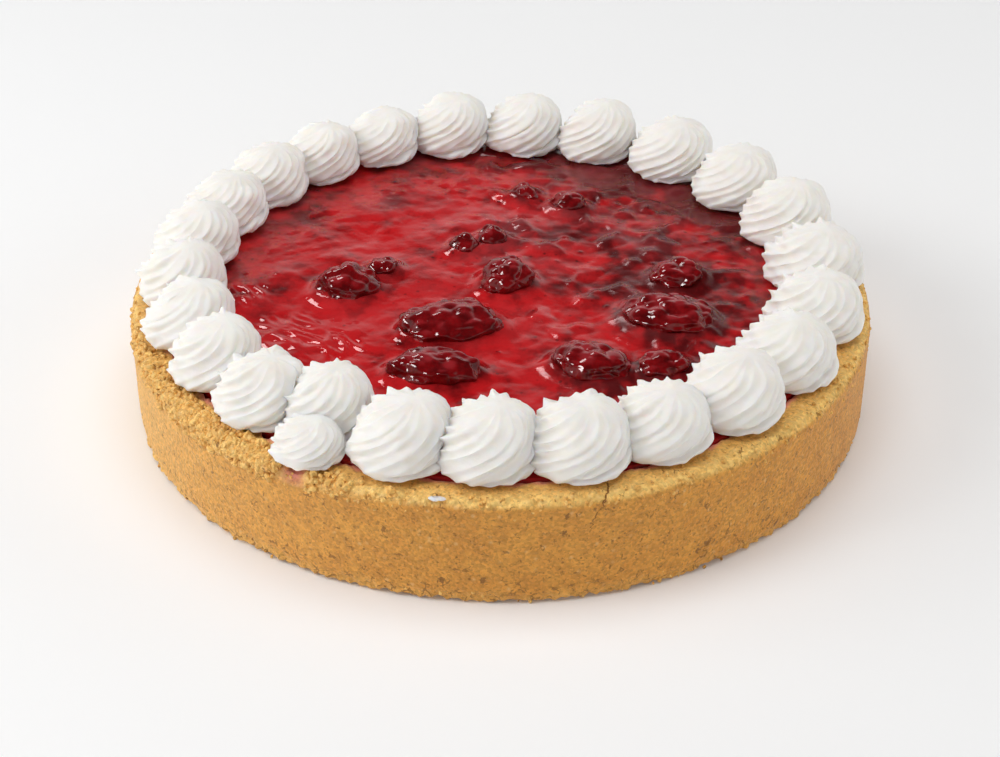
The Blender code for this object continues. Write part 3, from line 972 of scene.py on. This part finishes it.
# Dark fruit that lies under the glaze: middle, and how far the darkness reaches
SUNKEN_FRUIT = (
    (0.0609, 0.0530, 0.013), (0.0250, 0.0340, 0.008), (0.0320, 0.0020, 0.010), (0.0180, 0.0010, 0.006),
    (-0.0860, 0.0100, 0.009), (-0.0330, 0.0560, 0.010), (0.0380, 0.0690, 0.010), (-0.0640, 0.0420, 0.008),
    (-0.0690, -0.0020, 0.004), (-0.0600, 0.0050, 0.004), (-0.0640, 0.0130, 0.003), (0.0030, 0.0350, 0.006),
)

# Where fine creases of the glaze catch the light: middle and reach
CREASED_PLACES = ((-0.0640, -0.0290, 0.0100), (-0.0500, -0.0345, 0.0075), (-0.0800, -0.0050, 0.0070))

# Where the fruit side begins and ends, across the cake
FRUIT_SIDE = (-0.015, 0.030)

# Distances from the glaze's edge between which its relief fades out
EDGE_FADE = (0.016, 0.006)

# Widths and heights of the finer forms in the glaze
FINE_RIPPLE = 0.012
SMALL_RIPPLE = 0.0038
SPARKLE_WIDTH = 0.0019
PULP_WIDTH = 0.0110
PULP_WANDER = 0.0015
SEED_CELL = 0.0062
SEED_HEIGHT = 0.00036
CREASE_WIDTH = 0.0046
CREASE_HEIGHT = 0.00085
FILLET_WIDTH = 0.0026
FILLET_HEIGHT = 0.0017


def pulp_at(x, y, small):
    """Thickness of the pulp at a place, from 0 to 1."""
    bent = Vector((x + PULP_WANDER * small, y, 0.0))
    finer = noise.noise(bent / (0.5 * PULP_WIDTH) + Vector((3.3, 0.0, 0.0)))
    return smooth_step(noise.noise(bent / PULP_WIDTH) + 0.42 * finer, -0.10, 0.75)


def seed_at(x, y):
    """1 on a seed and 0 beside it."""
    distances, points = noise.voronoi(Vector((x, y, 0.02)) / SEED_CELL)
    return bump(distances[0], 0.13) * (noise.cell(30 * points[0]) > 0.1)


def creases_at(x, y):
    """How creased the glaze is at a place, and the noise whose middle line is the crease."""
    creased = max(bump(math.hypot(x - spot_x, y - spot_y), reach) for spot_x, spot_y, reach in CREASED_PLACES)
    return creased, noise.noise(Vector((x + y, 0.45 * (y - x), 0.0)) / CREASE_WIDTH)


def glaze_surface(x, y, settings):
    """Height of the glaze and its depth of colour at a place, where the depth also holds painted light and
    shade.
    """
    radius = math.hypot(x, y)
    place = Vector((1.3 * x / settings.ripple_length, y / settings.ripple_length, 0.3))
    broad = noise.noise(place) + 0.4 * noise.noise(2.1 * place)
    fine = 1 - 2 * abs(noise.noise(Vector((x / FINE_RIPPLE, 1.2 * y / FINE_RIPPLE, 4.1))))
    small = noise.noise(Vector((x / SMALL_RIPPLE, y / SMALL_RIPPLE, 1.7)))
    tiny = noise.noise(Vector((x / SPARKLE_WIDTH, y / SPARKLE_WIDTH, 8.3)))
    pulp = pulp_at(x, y, small)
    seed = seed_at(x, y)
    creased, crease = creases_at(x, y)
    fruit_side = smooth_step(x + 0.25 * y, *FRUIT_SIDE)
    inside = 1 - smooth_step(radius, *(GLAZE_RADIUS - reach for reach in EDGE_FADE))
    clear = min(berry.clearance(x, y) for berry in BERRIES)
    near = max(clear, 0.0)
    calm = inside * smooth_step(clear, 0.002, 0.010)
    height = calm * settings.ripple * broad
    height += inside * (0.00007 * fine + (0.00010 + 0.00014 * fruit_side) * small + 0.00004 * tiny)
    height += inside * settings.pulp * pulp * (0.22 + 0.78 * fruit_side) + inside * SEED_HEIGHT * seed
    height += FILLET_HEIGHT * bump(near, FILLET_WIDTH) * inside
    height += CREASE_HEIGHT * creased * inside * (1 - 2 * abs(crease))
    depth = 0.16 + 0.34 * smooth_step(x, -0.01, 0.06) + 0.30 * broad + 0.22 * pulp * fruit_side
    # Darker round each berry: thicker glaze in the fillet, and painted shade round the berry
    depth += 0.26 * bump(near, 0.0028) + (0.06 + 0.08 * fruit_side) * bump(near, 0.012)
    for middle_x, middle_y, reach in SUNKEN_FRUIT:
        depth += 0.46 * bump(math.hypot(x - middle_x, 1.4 * (y - middle_y)), reach)
    # Darker on seeds; lighter on the crests of the small ripples and on one side of each crease, darker in
    # the hollows and on the other side: painted light and shade
    depth += 0.45 * seed - 0.34 * small * (0.5 + 0.5 * fruit_side) - 0.5 * creased * crease
    # Painted shade under the swirls at the back: darker near the glaze's edge towards the back
    depth += 0.42 * smooth_step(radius + 0.006 * broad, 0.070, 0.084) * smooth_step(y, 0.0, 0.045)
    depth -= 0.30 * smooth_step(radius, 0.092, 0.100) * smooth_step(-y, 0.0, 0.03)
    return height, depth


class CHEESECAKE_OT_glaze(Operator):
    """Pours the berry glaze: a disc divided evenly, with ripples, pulp and a fillet round each berry"""

    bl_idname = "cheesecake.glaze"
    bl_label = "Berry Glaze"

    CORNERS = 6

    def execute(self, context):
        settings = context.scene.cheesecake_glaze
        start_piece()
        bpy.ops.mesh.primitive_circle_add(
            vertices=self.CORNERS, radius=1.0, fill_type="TRIFAN", location=(0, 0, GLAZE_LEVEL),
        )
        piece = new_piece("berry_glaze")
        bpy.ops.object.transform_apply(location=True, rotation=True, scale=True)
        edit_mesh("FACE")
        for _ in range(2):
            bpy.ops.mesh.select_all(action="SELECT")
            bpy.ops.mesh.subdivide(number_cuts=12)
        bpy.ops.object.mode_set(mode="OBJECT")
        paint_attribute(piece, "depth", self.spread(piece, settings))
        edit_mesh("EDGE")
        bpy.ops.mesh.select_all(action="SELECT")
        bpy.ops.mesh.region_to_loop()
        extrude_by((0, 0, GLAZE_FOOT - GLAZE_LEVEL))
        bpy.ops.mesh.edge_face_add()
        bpy.ops.mesh.select_all(action="SELECT")
        bpy.ops.mesh.normals_make_consistent(inside=False)
        bpy.ops.object.mode_set(mode="OBJECT")
        finish_piece(piece, glaze_finish(settings), ["berry_topping"])
        return {"FINISHED"}

    def spread(self, piece, settings):
        """Pushes each six-sided ring out to a circle and raises the ripples. Returns the depth of colour."""
        reach = 1 / math.cos(math.pi / self.CORNERS)
        sides = [polar(reach, math.radians(360 / self.CORNERS * side)) for side in range(self.CORNERS)]
        depths = []
        for vert in piece.data.vertices:
            flat = Vector((vert.co.x, vert.co.y, 0.0))
            if flat.length > 1e-6:
                ring = max(flat.dot(side) for side in sides)
                flat *= GLAZE_RADIUS * ring / flat.length
            height, depth = glaze_surface(flat.x, flat.y, settings)
            vert.co = flat + Vector((0, 0, GLAZE_LEVEL + height))
            depths.append(depth)
        return depths


class CHEESECAKE_OT_berries(Operator):
    """Sets the cooked berries half into the glaze, each folded and lumpy in its own way"""

    bl_idname = "cheesecake.berries"
    bl_label = "Berries"

    LARGE = 0.0075
    SKIRT = 0.0008
    DEPTH = 0.80
    FILM_AND_SHEEN_PATCH = 0.0035

    def execute(self, context):
        settings = context.scene.cheesecake_berries
        material = berry_finish(settings)
        for place in BERRIES:
            piece = self.shape(place, settings)
            finish_piece(piece, material, [place.node])
        return {"FINISHED"}

    def shape(self, place, settings):
        """Lumps and folds go into a ball of radius 1, so they stretch with the berry as it is drawn out."""
        start_piece()
        detail = 6 if place.half_length > self.LARGE else 5
        own_texture_place = Vector((7.3 * BERRIES.index(place), 2.1, 0.4))
        bpy.ops.mesh.primitive_ico_sphere_add(subdivisions=detail, radius=1.0, location=own_texture_place)
        piece = new_piece(place.node.replace("berry", "cooked_berry"))
        bpy.ops.object.transform_apply(location=True, rotation=True, scale=True)
        displace(piece, "CLOUDS", 0.9, settings.lump, noise_depth=1)
        displace(
            piece, "MUSGRAVE", 0.75, settings.fold, mid_level=0.6,
            musgrave_type="RIDGED_MULTIFRACTAL", octaves=1.5,
        )
        corners = [vert.co - own_texture_place for vert in piece.data.vertices]
        widest = [max(abs(corner[axis]) for corner in corners) for axis in range(3)]
        half_height = self.DEPTH * place.height
        middle = place.middle + Vector((0, 0, place.height + self.SKIRT - half_height))
        half_sizes = (place.half_length + self.SKIRT, place.half_width + self.SKIRT, half_height)
        draw_out = Matrix.Diagonal([half / reach for half, reach in zip(half_sizes, widest)] + [1.0])
        piece.data.transform(
            Matrix.Translation(middle) @ Matrix.Rotation(place.turn, 4, "Z") @ draw_out
            @ Matrix.Translation(-own_texture_place)
        )
        displace(
            piece, "VORONOI", settings.drupelet, -settings.dimple, mid_level=0.2,
            distance_metric="DISTANCE_SQUARED",
        )
        soften(piece, factor=0.5, times=5)
        paint_attribute(piece, "film_and_sheen", [self.film_and_sheen(vert) for vert in piece.data.vertices])
        return piece

    def film_and_sheen(self, vert):
        """How much milky film and painted sheen lie on a point: most on slopes that face up and back, in
        patches.
        """
        patch = noise.noise(vert.co / self.FILM_AND_SHEEN_PATCH)
        facing = vert.normal.z + 0.45 * vert.normal.y
        return smooth_step(facing + 0.45 * patch, 0.70, 1.25)


# Piped cream


def outline_reach(node):
    """A node's middle, and a function that gives its reach from there in a direction, seen from above."""
    corners = [vert.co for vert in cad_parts[node].data.vertices]
    hull = [corners[index].xy for index in convex_hull_2d([corner.xy for corner in corners])]
    low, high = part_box(node)
    middle = Vector((0.5 * (low.x + high.x), 0.5 * (low.y + high.y), 0.0))

    def reach(angle):
        out = Vector((math.cos(angle), math.sin(angle)))
        best = 0.0
        for here, after in zip(hull, hull[1:] + hull[:1]):
            side = after - here
            turn = out.x * side.y - out.y * side.x
            if abs(turn) < 1e-12:
                continue
            start = here - middle.xy
            along = (start.x * side.y - start.y * side.x) / turn
            across = (start.x * out.y - start.y * out.x) / turn
            if along > 0 and -1e-6 <= across <= 1 + 1e-6:
                best = max(best, along)
        return best

    return middle, reach


class CHEESECAKE_OT_swirls(Operator):
    """Pipes the ring of cream swirls: a few patterns are extruded and twisted, then fitted to each place"""

    bl_idname = "cheesecake.swirls"
    bl_label = "Cream Swirls"

    PATTERNS = 8
    LEVELS = 11
    TIP_STEP = 0.35
    LEVEL_POWER = 0.92
    FOOT_WIDTH = 0.90
    WIDEST_LEVEL = 0.20
    RIDGE_CREASE = 0.35
    CALMER_BEHIND = 0.35
    TORN_SIDE = math.radians(150)
    PEAK_SIDE = math.radians(140)
    PEAK = 1.9
    # Ranges of the ridges' and valleys' turns, in degrees, and of their reach
    RIDGE_TURN = (-4.5, 4.5)
    RIDGE_REACH = (-0.05, 0.02)
    VALLEY_TURN = (1.0, 5.0)
    VALLEY_DEPTH = (0.45, 1.45)
    # Ranges of the seam's ends, in degrees, and of its lowest and highest level
    SEAM_START = (-125, -100)
    SEAM_END = (0, 25)
    SEAM_LOW = (0.08, 0.14)
    SEAM_HIGH = (0.42, 0.52)
    SEAM_WIDTH = 0.030
    BULGE_BELOW = 0.11
    BULGE_WIDTH = 0.08
    OUTLINE_STEPS = 90
    OVERLAP = 0.0019

    def execute(self, context):
        settings = context.scene.cheesecake_cream
        material = cream_finish(settings)
        patterns = [self.pipe_pattern(settings, seed) for seed in range(self.PATTERNS)]
        half = self.PATTERNS // 2
        for number, node in enumerate(SWIRL_NODES):
            low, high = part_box(node)
            behind = low.y + high.y > 0.03
            pattern = patterns[half * behind + number % half]
            piece = self.fit(pattern, node)
            finish_piece(piece, material, [node])
        for pattern in patterns:
            bpy.data.objects.remove(pattern)
        return {"FINISHED"}

    def width_at(self, level):
        """Half width of a swirl of radius 1 at a level from 0 to 1."""
        swell = self.FOOT_WIDTH + (1 - self.FOOT_WIDTH) * smooth_step(level, 0.0, self.WIDEST_LEVEL)
        return swell * (1 - level**3.0) ** 0.5

    def pipe_pattern(self, settings, seed):
        """A star outline is drawn up level by level, shrunk and turned, and closed at an off-centre tip."""
        draws = random.Random(100 + seed)
        start_piece()
        bpy.ops.mesh.primitive_circle_add(
            vertices=2 * settings.ridges, radius=self.width_at(0.0), fill_type="NGON",
        )
        piece = new_piece(f"swirl_pattern_{seed}")
        self.cut_star(piece, settings, draws)
        edit_mesh("FACE")
        bpy.ops.mesh.select_all(action="SELECT")
        extrude_by((0, 0, 0))
        lean = Vector((settings.lean_right, settings.lean_back, 0.0)) * draws.uniform(0.8, 1.15)
        twist = settings.twist * draws.uniform(0.9, 1.1)
        torn = 1.0 if seed < self.PATTERNS // 2 else self.CALMER_BEHIND
        before, middle = 0.0, Vector((0, 0, 0))
        for step in range(1, self.LEVELS + 1):
            level = (step / (self.LEVELS + self.TIP_STEP)) ** self.LEVEL_POWER
            rise = lean * (level**2 - before**2) + Vector((0, 0, level - before))
            if step > 1:
                extrude_by(rise)
            else:
                bpy.ops.transform.translate(value=rise)
            middle += rise
            narrower = self.width_at(level) / self.width_at(before)
            bpy.ops.transform.resize(value=(narrower, narrower, 1), center_override=middle)
            turn = twist * (smooth_step(level, -0.1, 1.0) - smooth_step(before, -0.1, 1.0))
            bpy.ops.transform.rotate(value=-turn, orient_axis="Z", center_override=middle)
            before = level
        extrude_by(lean * (1 - before**2) + Vector((0, 0, 1 - before)))
        bpy.ops.mesh.merge(type="CENTER")
        bpy.ops.mesh.select_mode(type="VERT")
        bpy.ops.mesh.select_all(action="DESELECT")
        bpy.ops.object.vertex_group_set_active(group="ridge")
        bpy.ops.object.vertex_group_select()
        bpy.ops.transform.edge_crease(value=self.RIDGE_CREASE)
        bpy.ops.mesh.select_all(action="SELECT")
        bpy.ops.mesh.normals_make_consistent(inside=False)
        bpy.ops.object.mode_set(mode="OBJECT")
        self.tear_ridges(piece, torn * settings.ragged, settings.groove, lean, draws)
        subdivide_smooth(piece, 2)
        self.press_seam(piece, settings, draws)
        return piece

    def cut_star(self, piece, settings, draws):
        """Every other point of the circle goes in as a valley, each a little differently."""
        start = draws.uniform(0, math.tau / settings.ridges)
        ridge_points = []
        for vert in piece.data.vertices:
            angle = math.atan2(vert.co.y, vert.co.x) + start
            if vert.index % 2:
                angle += math.radians(draws.uniform(*self.VALLEY_TURN))
                reach = 1 - settings.groove * draws.uniform(*self.VALLEY_DEPTH)
            else:
                angle += math.radians(draws.uniform(*self.RIDGE_TURN))
                reach = 1 + draws.uniform(*self.RIDGE_REACH)
                ridge_points.append(vert.index)
            vert.co = polar(vert.co.length * reach, angle)
        piece.vertex_groups.new(name="ridge").add(ridge_points, 1.0, "REPLACE")

    def tear_ridges(self, piece, ragged, groove, lean, draws):
        """Pulls torn tips out of the ridges on one side, one of them a peak. Ridges fade at the top."""
        on_ridge = {vert.index for vert in piece.data.vertices if len(vert.groups)}
        peaked = False
        for vert in piece.data.vertices:
            level = vert.co.z
            axis = Vector((lean.x, lean.y, 0.0)) * level**2
            out = Vector((vert.co.x, vert.co.y, 0.0)) - axis
            if out.length < 1e-6 or level <= 0:
                continue
            even = self.width_at(level) * (1 - 0.35 * groove)
            calm = 0.3 * smooth_step(level, 0.80, 0.98)
            reach = out.length * (1 - calm) + even * calm
            angle = math.atan2(out.y, out.x)
            torn = smooth_step(math.cos(angle - self.TORN_SIDE), -0.1, 0.6)
            if vert.index not in on_ridge:
                reach *= 1 - 1.3 * groove * smooth_step(level, 0.30, 0.75)
            else:
                pull = ragged * draws.uniform(-0.5, 1.4) * torn * (1 - smooth_step(level, 0.86, 0.98))
                if not peaked and 0.60 < level < 0.85 and abs(angle - self.PEAK_SIDE) < 0.35:
                    pull, peaked = self.PEAK * ragged, True
                reach += pull
                vert.co.z += 0.6 * pull
            out *= reach / out.length
            vert.co.x, vert.co.y = axis.x + out.x, axis.y + out.y

    def press_seam(self, piece, settings, draws):
        """A crease that climbs round the lower right, where the second turn of cream lies on the first."""
        first = math.radians(draws.uniform(*self.SEAM_START))
        last = math.radians(draws.uniform(*self.SEAM_END))
        low = draws.uniform(*self.SEAM_LOW)
        high = draws.uniform(*self.SEAM_HIGH)
        for vert in piece.data.vertices:
            angle = math.atan2(vert.co.y, vert.co.x)
            along = (angle - first) / (last - first)
            if not 0 < along < 1:
                continue
            level = low + (high - low) * along**1.4
            ends = smooth_step(along, 0.0, 0.2) * (1 - smooth_step(along, 0.8, 1.0))
            above = vert.co.z - level
            dent = settings.seam * ends * bump(above, self.SEAM_WIDTH)
            bulge = 0.5 * settings.seam * ends * bump(above + self.BULGE_BELOW, self.BULGE_WIDTH)
            vert.co.x *= 1 - dent + bulge
            vert.co.y *= 1 - dent + bulge

    def fit(self, pattern, node):
        """A copy of the pattern, spread to the node's outline and height."""
        piece = pattern.copy()
        piece.data = pattern.data.copy()
        piece.name = node.replace("cream", "piped")
        piece.data.name = piece.name
        bpy.context.scene.collection.objects.link(piece)
        low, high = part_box(node)
        middle, reach = outline_reach(node)
        steps = self.OUTLINE_STEPS
        limits = [reach(math.tau * step / steps) for step in range(steps)]
        full = max(limits)
        for vert in piece.data.vertices:
            turn = (math.atan2(vert.co.y, vert.co.x) % math.tau) / math.tau * steps
            here = int(turn) % steps
            between = turn - int(turn)
            limit = limits[here] * (1 - between) + limits[(here + 1) % steps] * between
            out = Vector((vert.co.x, vert.co.y, 0.0)) * max(full, limit)
            if out.length > limit + self.OVERLAP:
                out *= (limit + self.OVERLAP) / out.length
            vert.co = middle + out + Vector((0, 0, low.z + vert.co.z * (high.z - low.z)))
        displace(piece, "CLOUDS", size=0.0080, strength=0.0019, noise_depth=1)
        displace(piece, "CLOUDS", size=0.0026, strength=0.0006, noise_depth=2)
        return piece


class CHEESECAKE_OT_cream_dab(Operator):
    """Leaves a small dab of cream on the front of the rim"""

    bl_idname = "cheesecake.cream_dab"
    bl_label = "Cream Dab"

    HALF_SIZES = (0.0025, 0.0012, 0.0004)

    def execute(self, context):
        start_piece()
        bpy.ops.mesh.primitive_ico_sphere_add(subdivisions=4, radius=1.0)
        piece = new_piece("cream_dab")
        shoulder = context.scene.cheesecake_crust.shoulder
        place = polar(CAKE_RADIUS - 0.55 * shoulder, CREAM_DAB_PLACE, CAKE_HEIGHT - 0.16 * shoulder)
        turn = Matrix.Rotation(CREAM_DAB_PLACE + 0.5 * math.pi, 4, "Z")
        piece.data.transform(Matrix.Translation(place) @ turn @ Matrix.Diagonal((*self.HALF_SIZES, 1.0)))
        displace(piece, "CLOUDS", size=0.0016, strength=0.0011, noise_depth=2)
        finish_piece(piece, cream_finish(context.scene.cheesecake_cream))
        return {"FINISHED"}


# Floor, lights and camera

# Soft lamps: place, width, height, power, and whether they show in highlights and in shading
SOFTBOXES = {
    "key": ((-1.20, -0.35, 0.98), 0.60, 0.60, 6.0, False, True),
    "left fill": ((-1.25, 0.10, 0.60), 0.60, 0.60, 4.0, False, True),
    "overhead": ((0.0, 0.0, 1.5), 1.4, 1.4, 14.0, False, True),
    "right fill": ((1.3, 0.1, 0.5), 0.8, 0.8, 3.0, False, True),
    "front shine": ((-1.15, -0.50, 1.0), 0.75, 0.50, 23.0, True, False),
    "back shine": ((-0.60, 0.95, 1.15), 0.45, 0.25, 3.5, True, False),
}

# Brightness of the light from all round, against the height from the horizon at 0 to overhead at 1
SKY = ((0.0, 0.82), (0.32, 0.70), (0.48, 0.34), (0.57, 0.05), (1.0, 0.02))

CAMERA_AIM = Vector((-0.00016, 0.0, -0.00023))


def add_softbox(name, aim, place, width, height, power, in_highlights, in_shading):
    """A rectangular lamp, turned to face its aim."""
    bpy.ops.object.light_add(type="AREA", location=place)
    lamp = bpy.context.object
    lamp.name = name
    lamp.rotation_euler = (aim - Vector(place)).to_track_quat("-Z", "Y").to_euler()
    lamp.data.shape = "RECTANGLE"
    lamp.data.size = width
    lamp.data.size_y = height
    lamp.data.energy = power
    lamp.visible_glossy = in_highlights
    lamp.visible_diffuse = in_shading


class CHEESECAKE_OT_stage(Operator):
    """Sets the pale floor, the soft lights and the camera"""

    bl_idname = "cheesecake.stage"
    bl_label = "Stage"

    def execute(self, context):
        settings = context.scene.cheesecake_stage
        start_piece()
        self.lay_floor(settings)
        self.fill(context.scene, settings)
        top = Vector((0, 0, CAKE_HEIGHT))
        for name, light in SOFTBOXES.items():
            add_softbox(name, top, *light)
        self.set_camera(context.scene, settings)
        context.scene.view_settings.view_transform = "Standard"
        return {"FINISHED"}

    def lay_floor(self, settings):
        bpy.ops.mesh.primitive_plane_add(size=12.0)
        floor = new_piece("floor")
        material, tree, shader = new_finish("pale_floor")
        darker = tuple(0.985 * part for part in settings.floor[:3]) + (1.0,)
        base = add_mottle(tree, darker, settings.floor, 0.4, 1.5)["Colour"]
        set_inputs(tree, shader, {
            "Base Color": base, "Roughness": 0.6, "Specular IOR Level": 0.2,
            "Emission Color": WHITE, "Emission Strength": 0.05,
        })
        floor.data.materials.append(material)

    def fill(self, scene, settings):
        """Soft light from all round, bright low down and dark overhead, so that ripples stand out."""
        world = bpy.data.worlds.new("studio")
        scene.world = world
        world.use_nodes = True
        tree = world.node_tree
        direction = tree.nodes.new("ShaderNodeTexCoord").outputs["Generated"]
        up = shader_node(tree, "ShaderNodeSeparateXYZ", {0: direction}).outputs[2]
        shades = tree.nodes.new("ShaderNodeValToRGB")
        tree.links.new(up, shades.inputs[0])
        for stop, (height, level) in enumerate(SKY):
            mark = shades.color_ramp.elements[stop] if stop < 2 else shades.color_ramp.elements.new(height)
            mark.position = height
            mark.color = (level, level, level, 1.0)
        sky = tree.nodes["Background"]
        tree.links.new(shades.outputs[0], sky.inputs[0])
        sky.inputs[1].default_value = settings.fill

    def set_camera(self, scene, settings):
        back = Vector((0, -math.cos(settings.elevation), math.sin(settings.elevation)))
        bpy.ops.object.camera_add(location=CAMERA_AIM + settings.distance * back)
        camera = bpy.context.object
        camera.rotation_euler = (-back).to_track_quat("-Z", "Y").to_euler()
        camera.data.sensor_width = 36.0
        camera.data.lens = settings.lens
        scene.camera = camera


STEPS = (
    CHEESECAKE_OT_crust,
    CHEESECAKE_OT_loose_crumbs,
    CHEESECAKE_OT_glaze,
    CHEESECAKE_OT_berries,
    CHEESECAKE_OT_swirls,
    CHEESECAKE_OT_cream_dab,
    CHEESECAKE_OT_stage,
)


class CHEESECAKE_PT_steps(Panel):
    bl_label = "Cheesecake"
    bl_idname = "CHEESECAKE_PT_steps"
    bl_space_type = "VIEW_3D"
    bl_region_type = "UI"
    bl_category = "Cheesecake"

    def draw(self, context):
        layout = self.layout
        for step in STEPS:
            layout.operator(step.bl_idname)
        for name, settings in SETTINGS.items():
            box = layout.box()
            group = getattr(context.scene, name)
            for prop in settings.__annotations__:
                box.prop(group, prop)


def register():
    for name, settings in SETTINGS.items():
        bpy.utils.register_class(settings)
        setattr(bpy.types.Scene, name, PointerProperty(type=settings))
    for made in (*STEPS, CHEESECAKE_PT_steps):
        bpy.utils.register_class(made)


def unregister():
    for made in reversed((*STEPS, CHEESECAKE_PT_steps)):
        bpy.utils.unregister_class(made)
    for name, settings in reversed(list(SETTINGS.items())):
        delattr(bpy.types.Scene, name)
        bpy.utils.unregister_class(settings)


def main():
    register()
    bpy.ops.cheesecake.crust()
    bpy.ops.cheesecake.loose_crumbs()
    bpy.ops.cheesecake.glaze()
    bpy.ops.cheesecake.berries()
    bpy.ops.cheesecake.swirls()
    bpy.ops.cheesecake.cream_dab()
    bpy.ops.cheesecake.stage()


if __name__ == "__main__":
    main()
